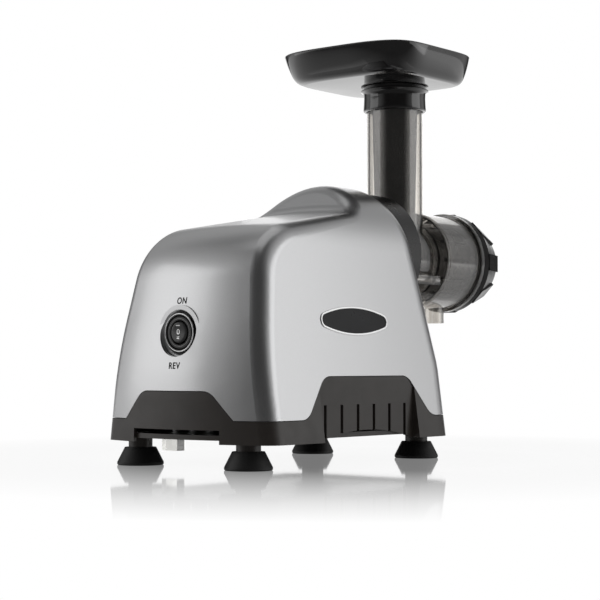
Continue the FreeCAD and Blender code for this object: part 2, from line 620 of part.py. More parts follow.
def make_motor():
    """Induction motor with open bells, held on a cradle, and its rotor with fan and pinion."""
    outer, bore = "motor_width / 2", "rotor_width / 2 + air_gap"
    mid = "(motor_width / 2 + rotor_width / 2) / 2"
    seat = "motor_shaft_width / 2 + bearing_wall"
    stator = turned("motor_stator", tube("stator_start", "stator_end", outer, mid), "motor_height")
    windings = turned("stator_windings", tube("stator_start - winding_reach", "stator_end + winding_reach", mid, bore),
                      "motor_height")
    rear = turned("motor_rear_bell", [
        ("motor_start", seat), ("motor_start", "bell_flange / 2"), ("motor_start + bell_wall", "bell_flange / 2"),
        ("motor_start + bell_wall", outer), ("stator_start", outer), ("stator_start", f"{outer} - bell_wall"),
        ("motor_start + bell_wall", f"{outer} - bell_wall"), ("motor_start + bell_wall", f"{seat} + bell_wall"),
        ("motor_start + bearing_length", f"{seat} + bell_wall"), ("motor_start + bearing_length", seat)],
        "motor_height")
    front = turned("motor_front_bell", [
        ("cover_start", seat), ("cover_start", "bell_flange / 2"), ("cover_start - bell_wall", "bell_flange / 2"),
        ("cover_start - bell_wall", outer), ("stator_end", outer), ("stator_end", f"{outer} - bell_wall"),
        ("cover_start - bell_wall", f"{outer} - bell_wall"), ("cover_start - bell_wall", f"{seat} + bell_wall"),
        ("cover_start - bearing_length", f"{seat} + bell_wall"), ("cover_start - bearing_length", seat)],
        "motor_height")
    ring = tube("0", "bearing_length", seat, "motor_shaft_width / 2 + shaft_gap")
    bearings = group("motor_bearings", [
        turned("rear_motor_bearing", ring, "motor_height", x="motor_start"),
        turned("front_motor_bearing", ring, "motor_height", x="cover_start - bearing_length")])
    bolt_ring = f"({outer} + bolt_width / 2)"
    bolts = group("motor_bolts", [
        cylinder(f"motor_bolt_{index}", "bolt_width / 2", "cover_start - motor_start - 2 * bell_wall",
                 "motor_start + bell_wall", f"{bolt_ring} * cos({angle})",
                 f"motor_height + {bolt_ring} * sin({angle})", along="X")
        for index, angle in enumerate((45, 135, 225, 315), 1)])
    hollow = cylinder("cradle_hollow", outer, "base_length", "0", "0", "motor_height", along="X")
    block = box("cradle_block", "stator_start", "-cradle_width / 2", "floor_bottom + floor_thickness",
                "stator_length", "cradle_width", "motor_height - motor_width / 3 - floor_bottom - floor_thickness")
    cradle = cut("motor_cradle", block, hollow)
    return [stator, windings, rear, front, place(bearings), place(bolts), place(cradle)]


def make_fan():
    """Hub, back disc and straight blades on the rear end of the motor shaft."""
    body = body_named("cooling_fan")
    start, width = "motor_start - fan_gap - fan_length", "fan_length"
    revolve(body, [
        (start, "motor_shaft_width / 2"), (start, "fan_width / 8"), (f"{start} + {width} - 1.6", "fan_width / 8"),
        (f"{start} + {width} - 1.6", "fan_width / 2"), (f"{start} + {width}", "fan_width / 2"),
        (f"{start} + {width}", "motor_shaft_width / 2")])
    blade = add_outline(sketch_on(body, "XZ_Plane"), [
        (start, "fan_width / 8 - 1"), (f"{start} + {width} - 1", "fan_width / 8 - 1"),
        (f"{start} + {width} - 1", "fan_width / 2 - 1"), (f"{start}", "fan_width / 2 - 4")])
    first = pad(body, blade, "1.6", both_ways=True)
    ring_of(body, [first], "fan_blades")
    return place(body, z="motor_height")


def toothed_wheel(label, teeth, module, start, face, bore, side, height, turn):
    """Spur wheel with straight-flanked teeth, its first tooth turned by the given angle about X."""
    body = body_named(label)
    pitch = f"({teeth} * {module} / 2)"
    root, tip = f"({pitch} - 1.25 * {module})", f"({pitch} + {module})"
    blank = add_circle(sketch_on(body, "YZ_Plane", start), "0", "0", root)
    pad(body, add_circle(blank, "0", "0", bore), face)
    foot_half, tip_half = f"tooth_foot * {module}", f"tooth_tip * {module}"
    outline = [(f"{root} - 0.3 * {module}", f"-{foot_half}"), (tip, f"-{tip_half}"), (tip, tip_half),
               (f"{root} - 0.3 * {module}", foot_half)]
    tooth = pad(body, add_outline(sketch_on(body, "YZ_Plane", start), outline), face)
    ring_of(body, [tooth], teeth)
    body.Placement.Rotation = FreeCAD.Rotation(Vector(1, 0, 0), measure(turn))
    return place(body, y=side, z=height)


def make_gears():
    """Motor pinion, the two wheels of the lay shaft and the output wheel, with their teeth in mesh."""
    fine_angle = "atan(lay_rise / lay_side)"
    coarse_angle = "atan((shaft_drop - lay_rise) / lay_side)"
    pinion = toothed_wheel("motor_pinion", "pinion_teeth", "fine_module", "fine_start - 1", "fine_face + 2",
                           "motor_shaft_width / 2", "0", "motor_height", fine_angle)
    lay_gear = toothed_wheel("lay_gear", "lay_gear_teeth", "fine_module", "fine_start", "fine_face",
                             "lay_shaft_width / 2", "lay_side", "lay_height",
                             f"180 deg + {fine_angle} + 180 deg / lay_gear_teeth")
    lay_pinion = toothed_wheel("lay_pinion", "lay_pinion_teeth", "coarse_module", "coarse_start - 1",
                               "coarse_face + 2", "lay_shaft_width / 2", "lay_side", "lay_height",
                               f"180 deg - {coarse_angle}")
    output = toothed_wheel("output_gear", "output_teeth", "coarse_module", "coarse_start", "coarse_face",
                           "output_shaft_width / 2", "0", "axis_height",
                           f"180 deg / output_teeth - {coarse_angle}")
    return [pinion, lay_gear, lay_pinion, output]


motor_parts = make_motor()
motor_shaft = turned("motor_shaft", [
    ("motor_start - fan_gap - fan_length", "0"), ("motor_start - fan_gap - fan_length", "motor_shaft_width / 2"),
    ("fine_start + fine_face + 1", "motor_shaft_width / 2"), ("fine_start + fine_face + 1", "0")], "motor_height")
rotor_core = turned("rotor_core", tube("stator_start - 1", "stator_end + 1", "rotor_width / 2",
                                       "motor_shaft_width / 2"), "motor_height")
cooling_fan = make_fan()
gears = make_gears()
run_capacitor = cylinder("run_capacitor", "capacitor_width / 2", "capacitor_length", "zero_x + stator_end", "0",
                         "floor_bottom + floor_thickness + capacitor_width / 2", along="X")


# Gearbox

def gear_lobes(label, inset, start, length):
    """Three joined discs that follow the pinion and both wheels."""
    body = body_named(label)
    lobes = [("0", "motor_height", "pinion_lobe / 2"),
             ("lay_side", "lay_height", "fine_centres - pinion_teeth * fine_module / 2 + fine_module"),
             ("0", "axis_height", "coarse_centres - lay_pinion_teeth * coarse_module / 2 + coarse_module")]
    for across, up, radius in lobes:
        size = f"{radius} + gear_clearance + gear_case_wall - {inset}"
        pad(body, add_circle(sketch_on(body, "YZ_Plane", start), across, up, size), length)
    return body


def make_gearbox():
    """Cast case with a flat cover toward the motor, bored for the shafts and their bearings."""
    lay_seat = "lay_shaft_width / 2 + bearing_wall"
    out_seat = "output_shaft_width / 2 + bearing_wall"
    outside = gear_lobes("case_outside", "0", "cover_end", "case_end - cover_end")
    inside = gear_lobes("case_inside", "gear_case_wall", "cover_end", "case_inner_end - cover_end")
    bores = [
        cylinder("lay_front_bore", lay_seat, "bearing_length", "case_inner_end", "lay_side", "lay_height", along="X"),
        cylinder("output_bore", out_seat, "base_length", "case_inner_end", "0", "axis_height", along="X")]
    case = cut("gearbox_case", outside, joined("case_tools", [inside] + bores))
    plate = gear_lobes("cover_plain", "0", "cover_start", "cover_end - cover_start")
    bores = [
        cylinder("lay_rear_bore", lay_seat, "bearing_length", "cover_end - bearing_length", "lay_side",
                 "lay_height", along="X"),
        cylinder("output_rear_bore", out_seat, "bearing_length", "cover_end - bearing_length", "0",
                 "axis_height", along="X"),
        cylinder("motor_shaft_bore", "motor_shaft_width / 2 + gear_clearance", "base_length", "0", "0",
                 "motor_height", along="X")]
    cover = cut("gearbox_cover", plate, joined("cover_tools", bores))
    lay_ring = tube("0", "bearing_length", lay_seat, "lay_shaft_width / 2 + shaft_gap")
    out_ring = tube("0", "bearing_length", out_seat, "output_shaft_width / 2 + shaft_gap")
    bearings = group("gear_bearings", [
        turned("lay_rear_bearing", lay_ring, "lay_height", "lay_side", x="cover_end - bearing_length"),
        turned("lay_front_bearing", lay_ring, "lay_height", "lay_side", x="case_inner_end"),
        turned("output_rear_bearing", out_ring, "axis_height", x="cover_end - bearing_length"),
        turned("output_front_bearing", out_ring, "axis_height", x="case_inner_end")])
    seal = turned("output_seal", tube("case_inner_end + bearing_length", "case_end", out_seat,
                                      "output_shaft_width / 2 + shaft_gap"), "axis_height")
    return [place(case), place(cover), place(bearings), seal]


def hexagon(sketch, across_flats):
    """A six-sided outline about the sketch's origin."""
    corner = f"({across_flats}) / sqrt(3)"
    spots = [(f"{corner} * cos({angle})", f"{corner} * sin({angle})") for angle in range(0, 360, 60)]
    return add_outline(sketch, spots)


def make_output_shaft():
    """Steel shaft from the gearbox that widens into a hub with a six-sided socket."""
    body = body_named("output_shaft")
    revolve(body, [
        ("cover_end - bearing_length", "0"), ("cover_end - bearing_length", "output_shaft_width / 2"),
        ("case_end + 1", "output_shaft_width / 2"), ("case_end + 1", "hub_width / 2"),
        ("hub_end", "hub_width / 2"), ("hub_end", "0")])
    socket = hexagon(sketch_on(body, "YZ_Plane", "hub_end"), "hex_width + 2 * fit_gap")
    pocket(body, socket, "hub_depth")
    return place(body, z="axis_height")


gearbox_parts = make_gearbox()
lay_shaft = turned("lay_shaft", [
    ("cover_end - bearing_length", "0"), ("cover_end - bearing_length", "lay_shaft_width / 2"),
    ("case_inner_end + bearing_length", "lay_shaft_width / 2"), ("case_inner_end + bearing_length", "0")],
    "lay_height", "lay_side")
output_shaft = make_output_shaft()


# Front plate and lock clip

def make_front_plate():
    """Black disc against the leaning front, with the socket ring that takes the drum."""
    disc = turned("plate_disc", [
        ("front_x - head_radius / 2", "hub_width / 2 + slide_gap"), ("hub_end", "hub_width / 2 + slide_gap"),
        ("hub_end", "socket_radius"), ("plate_front + socket_rise", "socket_radius"),
        ("plate_front + socket_rise", "socket_radius + socket_wall"), ("plate_front", "socket_radius + socket_wall"),
        ("plate_front", "plate_width / 2"), ("front_x - head_radius / 2", "plate_width / 2")],
        "axis_height", x="0")
    return place(cut("front_plate", disc, outer_form))


def make_lock_clip():
    """Turning clip on the front plate: a boss and a finger tab that swings over the drum's flange."""
    body = body_named("lock_clip")
    stand = "clip_level - plate_front - fit_gap"
    pad(body, add_circle(sketch_on(body, "YZ_Plane"), "0", "0", "clip_boss / 2"), f"{stand} + clip_thickness")
    tab = [("-clip_boss / 4", "0"), ("clip_boss / 4", "0"), ("clip_boss / 4", "clip_tab"), ("-clip_boss / 4", "clip_tab")]
    pad(body, add_outline(sketch_on(body, "YZ_Plane", stand), tab), "clip_thickness")
    return place(body, x="zero_x + plate_front + fit_gap", y="lock_y", z="axis_height + lock_rise")


front_plate = make_front_plate()
lock_clip = make_lock_clip()


# Drum and what is inside

def make_drum():
    """Clear moulding: throat, shoulder, wide drum with its lip, chute, spout and side ledge."""
    body = body_named("drum")
    flange = "plate_front + socket_rise + slide_gap"
    revolve(body, [
        ("seat_x", "0"), ("seat_x", "throat_radius"), (flange, "throat_radius"), (flange, "drum_flange / 2"),
        (f"{flange} + drum_wall", "drum_flange / 2"), (f"{flange} + drum_wall", "throat_radius"),
        ("shoulder_end - drum_wall", "throat_radius"), ("shoulder_end", "drum_radius"),
        ("drum_end - drum_lip", "drum_radius"), ("drum_end - drum_lip", "drum_lip_width / 2"),
        ("drum_end", "drum_lip_width / 2"), ("drum_end", "0")])
    pad(body, add_circle(sketch_on(body, "XY_Plane"), "chute_x", "0", "chute_width / 2"), "chute_top - axis_height")
    spout = pad(body, add_circle(sketch_on(body, "XY_Plane", "-spout_drop"), "spout_x", "0", "spout_width / 2"),
                "spout_drop")
    ledge = [("-throat_radius - 3", "-ledge_drop - ledge_height / 2"), ("-throat_radius / 2", "-ledge_drop - ledge_height / 2"),
             ("-throat_radius / 2", "-ledge_drop + ledge_height / 2"), ("-throat_radius - 3", "-ledge_drop + ledge_height / 2")]
    pad(body, add_outline(sketch_on(body, "YZ_Plane", f"{flange} + drum_wall"), ledge),
        f"shoulder_end - drum_wall - ({flange} + drum_wall)")
    revolve(body, [
        ("seat_x - 1", "0"), ("seat_x - 1", "shaft_neck / 2 + shaft_gap"), ("seat_x + rear_wall", "shaft_neck / 2 + shaft_gap"),
        ("seat_x + rear_wall", "throat_bore"), ("shoulder_end + drum_wall", "throat_bore"),
        ("shoulder_end + drum_wall", "drum_radius - drum_wall"), ("drum_end + 1", "drum_radius - drum_wall"),
        ("drum_end + 1", "0")], groove=True)
    pocket(body, add_circle(sketch_on(body, "XY_Plane", "chute_top - axis_height"), "chute_x", "0",
                            "chute_width / 2 - chute_wall"), "chute_top - axis_height")
    pocket(body, add_circle(sketch_on(body, "XY_Plane", "-spout_drop"), "spout_x", "0", "spout_width / 2 - 2"),
           "spout_drop", backward=True)
    return place(body, z="axis_height")


def make_screen():
    """Juicing screen: a thin sleeve with long slots."""
    body = body_named("juicing_screen")
    start, end = "shoulder_end + drum_wall", "drum_end - drum_lip"
    revolve(body, tube(start, end, "screen_width / 2", "screen_width / 2 - screen_wall"))
    slot = add_outline(sketch_on(body, "XY_Plane"), [
        (f"{start} + 6", "-1.5"), (f"{end} - 6", "-1.5"), (f"{end} - 6", "1.5"), (f"{start} + 6", "1.5")])
    first = pocket(body, slot, "screen_width", backward=True)
    ring_of(body, [first], "screen_slots")
    return place(body, z="axis_height")


def flight(label, start, length, root, tip, pitch, thickness):
    """One screw flight as a closed shell of narrow triangles along a helix about X."""
    steps_per_turn = 18
    steps = round(length / pitch * steps_per_turn)
    rows = []
    for step in range(steps + 1):
        angle = 2 * math.pi * step / steps_per_turn
        along = start + pitch * step / steps_per_turn
        across, up = math.cos(angle), math.sin(angle)
        profile = [(along, root), (along + thickness * 0.25, tip), (along + thickness * 0.75, tip),
                   (along + thickness, root)]
        rows.append([Vector(x, radius * across, radius * up) for x, radius in profile])
    triangles = []
    for here, following in zip(rows, rows[1:]):
        for index in range(4):
            other = (index + 1) % 4
            triangles.append([here[index], here[other], following[other]])
            triangles.append([here[index], following[other], following[index]])
    for row in (rows[0], rows[-1]):
        triangles.append([row[0], row[1], row[2]])
        triangles.append([row[0], row[2], row[3]])
    faces = [Part.Face(Part.makePolygon(corners + corners[:1])) for corners in triangles]
    part = doc.addObject("Part::Feature", label)
    part.Shape = Part.makeSolid(Part.makeShell(faces))
    return part


def make_auger():
    """Auger: a core that thickens toward the front, one flight and a bore for its shaft."""
    core = turned("auger_core_body", [
        ("auger_start", "shaft_neck / 2"), ("auger_start", "throat_bore - slide_gap - 2"),
        ("auger_start + 3", "throat_bore - slide_gap - 2"), ("auger_start + 6", "auger_core / 2"),
        ("drum_end - 12", "auger_core / 2 + 3"), ("drum_end + 4", "auger_core / 2 + 5"),
        ("drum_end + 20", "auger_core / 3"), ("drum_end + 20", "0"), ("auger_start + shaft_grip", "0"),
        ("auger_start + shaft_grip", "shaft_neck / 2")], x="0")
    length = measure("drum_end - 6 - (auger_start + 6)")
    screw = flight("auger_flight", measure("auger_start + 5"), length - measure("flight_thickness"),
                   measure("auger_core / 2 - 2"), measure("auger_width / 2"), measure("auger_pitch"),
                   measure("flight_thickness * 2"))
    return place(joined("auger_screw", [core, screw]), z="axis_height")


def make_auger_shaft():
    """Steel shaft moulded into the auger: a round neck and a six-sided end for the hub."""
    body = body_named("auger_shaft")
    tip = "hub_end - hub_depth + 1"
    pad(body, hexagon(sketch_on(body, "YZ_Plane", tip), "hex_width"), f"seat_x - ({tip})")
    pad(body, add_circle(sketch_on(body, "YZ_Plane", "seat_x"), "0", "0", "shaft_neck / 2"),
        "auger_start + shaft_grip - seat_x")
    return place(body, z="axis_height")


def make_cap():
    """End cap: a tapered cup with grip ribs and the bore of the outlet."""
    body = body_named("drum_cap")
    rim = "drum_end + fit_gap"
    revolve(body, [
        (rim, "drum_lip_width / 2 - drum_wall"), (rim, "drum_lip_width / 2"), (f"{rim} + cap_band", "drum_lip_width / 2"),
        ("cap_end - cap_bevel", "cap_end_width / 2"), ("cap_end", "cap_end_width / 2 - cap_bevel"),
        ("cap_end", "nozzle_bore / 2"), ("cap_end - drum_wall", "nozzle_bore / 2"),
        ("cap_end - drum_wall", "cap_end_width / 2 - drum_wall - cap_bevel"),
        (f"{rim} + cap_band", "drum_lip_width / 2 - drum_wall")])
    rib = pad(body, add_outline(sketch_on(body, "XZ_Plane"), [
        (f"{rim} + cap_band", "drum_lip_width / 2 - 1"), (f"{rim} + cap_band", "drum_lip_width / 2 + 0.4"),
        ("cap_end - cap_bevel", "cap_end_width / 2 + rib_height"), ("cap_end - cap_bevel", "cap_end_width / 2 - 1")]),
        "rib_width", both_ways=True)
    ring_of(body, [rib], "cap_ribs")
    return place(body, z="axis_height")


drum = make_drum()
juicing_screen = make_screen()
auger_screw = make_auger()
auger_shaft = make_auger_shaft()
drum_seal = turned("drum_seal", tube("seat_x + rear_wall", "seat_x + rear_wall + 1.6", "shaft_neck / 2 + 3",
                                     "shaft_neck / 2 + shaft_gap"), "axis_height")
cap_gasket = turned("cap_gasket", tube("drum_end - drum_lip", "drum_end", "drum_radius - drum_wall",
                                       "drum_radius - drum_wall - 2.4"), "axis_height")
drum_cap = make_cap()
nozzle_dial = turned("nozzle_dial", [
    ("cap_end - drum_wall - 2", "4"), ("cap_end - drum_wall - 2", "nozzle_bore / 2 - shaft_gap"),
    ("cap_end + fit_gap", "nozzle_bore / 2 - shaft_gap"), ("cap_end + fit_gap", "nozzle_width / 2"),
    ("cap_end + nozzle_reach - 1.5", "nozzle_width / 2"), ("cap_end + nozzle_reach", "nozzle_width / 2 - 1.5"),
    ("cap_end + nozzle_reach", "4")], "axis_height")


# Tray and pusher

TRAY_BENDS = [("0", "1"), ("0.2", "0.55"), ("0.45", "0.27"), ("1", "0")]


def tray_form(label, inset, rise):
    """A block with sloping sides that turn in toward the floor, drawn in by the wall for the hollow."""
    body = body_named(label)
    sketches = []
    for share, slope in TRAY_BENDS:
        level = f"tray_floor + {inset} + {share} * (tray_depth - {inset} + {rise})"
        low = f"(tray_x - tray_length / 2 + tray_rear_flare * {slope} + {inset})"
        high = f"(tray_x + tray_length / 2 - tray_front_flare * {slope} - {inset})"
        half_y = f"(tray_width / 2 - tray_side_flare * {slope} - {inset})"
        corner = f"(tray_corner - tray_front_flare * {slope} - {inset})"
        sketches.append(add_rounded_rectangle(sketch_on(body, "XY_Plane", level), low, high, half_y, corner))
    loft = body.newObject("PartDesign::AdditiveLoft", label + "_loft")
    loft.Profile = (sketches[0], [""])
    loft.Sections = [(sketch, [""]) for sketch in sketches[1:]]
    loft.Ruled = True
    doc.recompute()
    return body


def make_tray():
    """Tray with its round collar, which fits over the chute."""
    outside = tray_form("tray_outside", "0", "0")
    inside = tray_form("tray_inside", "tray_wall", "0.5")
    lip = "collar_width / 2 + collar_lip"
    collar = turned("tray_collar", [
        ("0", "-collar_drop"), ("collar_width / 2 - 1", "-collar_drop"), ("collar_width / 2", "-collar_drop + 2"),
        ("collar_width / 2", "-collar_neck - 3.5"), (lip, "-collar_neck - 1.5"), (lip, "-collar_neck"),
        ("collar_width / 2", "-collar_neck"), ("collar_width / 2", "0"),
        ("0", "tray_wall / 2")], axis="V_Axis", x="chute_x", height="tray_floor")
    bore = turned("tray_bore", [
        ("0", "tray_floor - collar_drop - 1"), ("chute_width / 2 + slide_gap", "tray_floor - collar_drop - 1"),
        ("chute_width / 2 + slide_gap", "chute_top + slide_gap"), ("chute_width / 2 - chute_wall", "chute_top + slide_gap"),
        ("chute_width / 2 - chute_wall", "tray_rim_height"), ("0", "tray_rim_height")], axis="V_Axis", x="chute_x")
    tray = cut("hopper_tray", joined("tray_solid", [outside, collar]), joined("tray_tools", [inside, bore]))
    return place(tray)


def make_pusher():
    """Pusher: a drafted round rod with a flat head that rests on the tray."""
    rest = "tray_floor + tray_wall + slide_gap"
    return turned("pusher", [
        ("0", "pusher_end_height"), ("pusher_end_width / 2 - 3", "pusher_end_height"),
        ("pusher_end_width / 2", "pusher_end_height + 3"), ("pusher_width / 2", rest), ("pusher_head / 2", rest),
        ("pusher_head / 2", f"{rest} + pusher_head_height - 1"), ("pusher_head / 2 - 1", f"{rest} + pusher_head_height"),
        ("0", f"{rest} + pusher_head_height")], axis="V_Axis", x="zero_x + chute_x")


hopper_tray = make_tray()
pusher = make_pusher()

# Write each sub-part

NODES = [housing_shell, base_skirt, bottom_plate, *feet, foot_screws, cord_gland, cord_clip, switch_bezel, rocker,
         *motor_parts, motor_shaft, rotor_core, cooling_fan, *gears, run_capacitor, *gearbox_parts, lay_shaft,
         output_shaft, front_plate, lock_clip, drum, juicing_screen, auger_screw, auger_shaft, drum_seal,
         cap_gasket, drum_cap, nozzle_dial, hopper_tray, pusher]

doc.recompute()
for item in doc.Objects:
    if "Invalid" in item.State or "Error" in item.State:
        raise RuntimeError(item.Label + " did not rebuild")
os.makedirs("parts", exist_ok=True)
for node in NODES:
    if node.Shape.isNull() or not node.Shape.isValid():
        raise RuntimeError(node.Label + " has no valid shape")
    node.Shape.exportStep(f"parts/{node.Label}.step")
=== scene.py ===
"""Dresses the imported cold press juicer: studio, paints, plastics, and the pieces too fine for the solids."""

import json
import math

import bmesh
import bpy
import numpy as np
from bpy.props import FloatProperty, FloatVectorProperty, PointerProperty
from bpy.types import Operator, Panel, PropertyGroup
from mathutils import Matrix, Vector


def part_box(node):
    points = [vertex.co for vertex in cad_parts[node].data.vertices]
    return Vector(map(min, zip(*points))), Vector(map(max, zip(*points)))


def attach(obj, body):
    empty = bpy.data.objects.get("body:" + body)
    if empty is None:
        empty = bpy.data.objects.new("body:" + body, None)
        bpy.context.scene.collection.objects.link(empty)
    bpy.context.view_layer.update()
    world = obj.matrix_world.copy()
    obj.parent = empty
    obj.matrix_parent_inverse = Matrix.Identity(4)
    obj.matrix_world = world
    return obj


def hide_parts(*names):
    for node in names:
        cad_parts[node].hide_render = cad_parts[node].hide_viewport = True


bl_info = {
    "name": "Cold Press Juicer",
    "version": (1, 0, 0),
    "blender": (4, 5, 0),
    "location": "3D View > Sidebar > Juicer",
    "description": "Finishes, fine pieces and studio for a horizontal cold press juicer",
    "category": "Object",
}

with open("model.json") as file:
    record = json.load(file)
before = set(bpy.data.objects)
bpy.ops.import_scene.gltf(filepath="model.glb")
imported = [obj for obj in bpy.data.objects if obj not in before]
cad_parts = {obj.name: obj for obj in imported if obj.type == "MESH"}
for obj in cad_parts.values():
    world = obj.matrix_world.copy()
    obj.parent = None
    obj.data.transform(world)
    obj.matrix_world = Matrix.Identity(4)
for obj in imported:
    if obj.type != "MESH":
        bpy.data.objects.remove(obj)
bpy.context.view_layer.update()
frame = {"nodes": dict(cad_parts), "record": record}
NODES = frame["nodes"]
MM = 0.001
FULL_TURN = 2 * math.pi
QUARTER_TURN = math.pi / 2
WHITE = (1, 1, 1, 1)


# Shader maths

class Wire:
    """One value travelling through a node tree; Python's signs on it add Math nodes."""

    def __init__(self, wiring, socket):
        self.wiring = wiring
        self.socket = socket

    def maths(self, operation, *values):
        return self.wiring.node("ShaderNodeMath", {"operation": operation}, dict(enumerate(values)))

    def __add__(self, other):
        return self.maths("ADD", self, other)

    __radd__ = __add__

    def __sub__(self, other):
        return self.maths("SUBTRACT", self, other)

    def __rsub__(self, other):
        return self.maths("SUBTRACT", other, self)

    def __mul__(self, other):
        return self.maths("MULTIPLY", self, other)

    __rmul__ = __mul__

    def or_more(self, other):
        """The greater of two values."""
        return self.maths("MAXIMUM", self, other)


class Wiring:
    """A node tree under construction: one method adds any node, and the others are short for usual ones."""

    def __init__(self, tree):
        self.tree = tree

    def node(self, kind, settings=None, inputs=None, output=0):
        """Adds a node: its settings first, then the values or links of its sockets."""
        made = self.tree.nodes.new(kind)
        for setting, value in (settings or {}).items():
            setattr(made, setting, value)
        for socket, value in (inputs or {}).items():
            if isinstance(value, Wire):
                self.tree.links.new(value.socket, made.inputs[socket])
            else:
                made.inputs[socket].default_value = value
        return Wire(self, made.outputs[output])

    def place(self, scale=(1, 1, 1)):
        """Object coordinates, stretched by one factor for each axis."""
        where = self.node("ShaderNodeTexCoord", output="Object")
        return self.node("ShaderNodeMapping", None, {"Vector": where, "Scale": scale})

    def axes(self, source="Object"):
        """X, Y and Z of the object's own coordinates, or of the way that a ray of the room goes."""
        where = self.node("ShaderNodeTexCoord", output=source)
        return [self.node("ShaderNodeSeparateXYZ", None, {"Vector": where}, which) for which in range(3)]

    def ray_is(self, kind):
        """One on rays of this kind and nothing on the others."""
        return self.node("ShaderNodeLightPath", output=f"Is {kind} Ray")

    def noise(self, scale, detail=2, where=None):
        return self.node("ShaderNodeTexNoise", None,
                         {"Vector": where or self.place(), "Scale": scale, "Detail": detail}, "Fac")

    def cells(self, scale):
        inputs = {"Vector": self.place(), "Scale": scale}
        return self.node("ShaderNodeTexVoronoi", None, inputs, "Color")

    def between(self, value, low, high, out_low=0.0, out_high=1.0):
        """The value carried from one range to another, held at its ends."""
        inputs = {"Value": value, "From Min": low, "From Max": high, "To Min": out_low, "To Max": out_high}
        return self.node("ShaderNodeMapRange", {"clamp": True}, inputs)

    def blend(self, share, first, second):
        """A colour between two colours; the sockets of a colour mix are 0, 6 and 7 and its result is 2."""
        return self.node("ShaderNodeMix", {"data_type": "RGBA", "clamp_factor": True},
                         {0: share, 6: first, 7: second}, 2)

    def bump(self, height, distance, strength):
        inputs = {"Height": height, "Distance": distance, "Strength": strength}
        return self.node("ShaderNodeBump", None, inputs)

    def mix_shaders(self, share, first, second):
        return self.node("ShaderNodeMixShader", None, {0: share, 1: first, 2: second})


FINISHES = {}


class Finish(Wiring):
    """A material, found again by its name: its constants sit on its own shader, and what varies is linked."""

    def __init__(self, name, constants):
        self.material = bpy.data.materials.new(name)
        self.material.use_nodes = True
        FINISHES[name] = self.material
        super().__init__(self.material.node_tree)
        self.shader = self.tree.nodes["Principled BSDF"]
        for socket, value in constants.items():
            self.shader.inputs[socket].default_value = value

    def drive(self, socket, wire):
        self.tree.links.new(wire.socket, self.shader.inputs[socket])


def shade(colour, by):
    """A colour made lighter or darker, with full alpha."""
    return tuple(min(1.0, part * by) for part in colour[:3]) + (1.0,)


# Finishes

def paint_silver(look):
    """Sprayed silver: fine metal flakes, a faint orange peel and a clear coat whose gloss changes slowly."""
    finish = Finish("silver_paint", {"Metallic": 0.93, "Coat Roughness": 0.08, "Coat IOR": 1.4,
                                     "Specular IOR Level": 0.5})
    flakes = finish.cells(scale=5200)
    finish.drive("Base Color", finish.blend(flakes, shade(look.silver, 0.93), shade(look.silver, 1.06)))
    finish.drive("Roughness", finish.noise(scale=9, detail=3) * 0.05 + 0.27)
    finish.drive("Coat Weight", finish.noise(scale=30) * 0.1 + 0.2)
    peel = finish.noise(scale=420, detail=1)
    finish.drive("Normal", finish.bump(peel, distance=0.02 * MM, strength=0.35))


def moulded(name, colour, rough, grain, depth, swing=0.12, extra=None):
    """Moulded plastic: a spark-eroded grain, small changes of shade and faint rubbed patches.

    The grain has a fineness and a depth in millimetres, and the swing is how far the shade goes either way.
    """
    finish = Finish(name, {"Specular IOR Level": 0.5, **(extra or {})})
    patch = finish.between(finish.noise(scale=38, detail=4), 0.3, 0.7)
    finish.drive("Base Color", finish.blend(patch, shade(colour, 1 - swing), shade(colour, 1 + swing)))
    rubbed = finish.noise(scale=70, detail=3)
    finish.drive("Roughness", finish.between(rubbed, 0.3, 0.7, rough - 0.05, rough + 0.05))
    finish.drive("Normal", finish.bump(finish.noise(grain), distance=depth * MM, strength=0.5))


def turned_metal(name, colour, rough, axis="X"):
    """Machined metal: close tool lines round one axis, with a little tarnish."""
    lines, drawn_out = 5200, 30
    finish = Finish(name, {"Metallic": 1.0})
    stretch = {"X": (lines, drawn_out, drawn_out), "Z": (drawn_out, drawn_out, lines)}[axis]
    scratch = finish.noise(scale=1, where=finish.place(stretch))
    tarnish = finish.between(finish.noise(scale=45, detail=4), 0.35, 0.75)
    finish.drive("Base Color", finish.blend(tarnish, shade(colour, 1), shade(colour, 0.8)))
    finish.drive("Roughness", scratch * 0.16 + (rough - 0.08))
    finish.drive("Normal", finish.bump(scratch, distance=0.02 * MM, strength=0.4))


def see_through(name, colour, rough, clear, stain, bend):
    """Glossy clear plastic that lets a share of the light through, with flow marks and fine scuffs."""
    finish = Finish(name, {"Transmission Weight": clear, "IOR": bend, "Specular IOR Level": 0.5,
                           "Coat Weight": 0.5, "Coat IOR": 2.2, "Coat Roughness": 0.04})
    drawn_up = finish.place((1, 1, 0.35))
    marks = finish.between(finish.noise(scale=24, detail=3, where=drawn_up), 0.3, 0.7)
    finish.drive("Base Color", finish.blend(marks, shade(colour, 1 - stain), shade(colour, 1 + stain)))
    scuffs = finish.noise(scale=160, detail=3)
    finish.drive("Roughness", finish.between(scuffs, 0.4, 0.8, rough, rough + 0.06))
    ripple = finish.noise(scale=120, detail=1)
    finish.drive("Normal", finish.bump(ripple, distance=0.01 * MM, strength=0.15))


def stacked_sheets():
    """Thin steel sheets pressed into a stack: the sine of the distance along X, seen as fine dark lines."""
    lines_per_metre = 9000
    finish = Finish("lamination_steel", {"Metallic": 0.8})
    wave = finish.node("ShaderNodeMath", {"operation": "SINE"}, {0: finish.axes()[0] * lines_per_metre})
    finish.drive("Base Color", finish.blend(wave * 0.5 + 0.5, (0.11, 0.12, 0.14, 1), (0.3, 0.31, 0.33, 1)))
    finish.drive("Roughness", finish.noise(scale=80) * 0.2 + 0.35)
    finish.drive("Normal", finish.bump(wave, distance=0.1 * MM, strength=0.5))


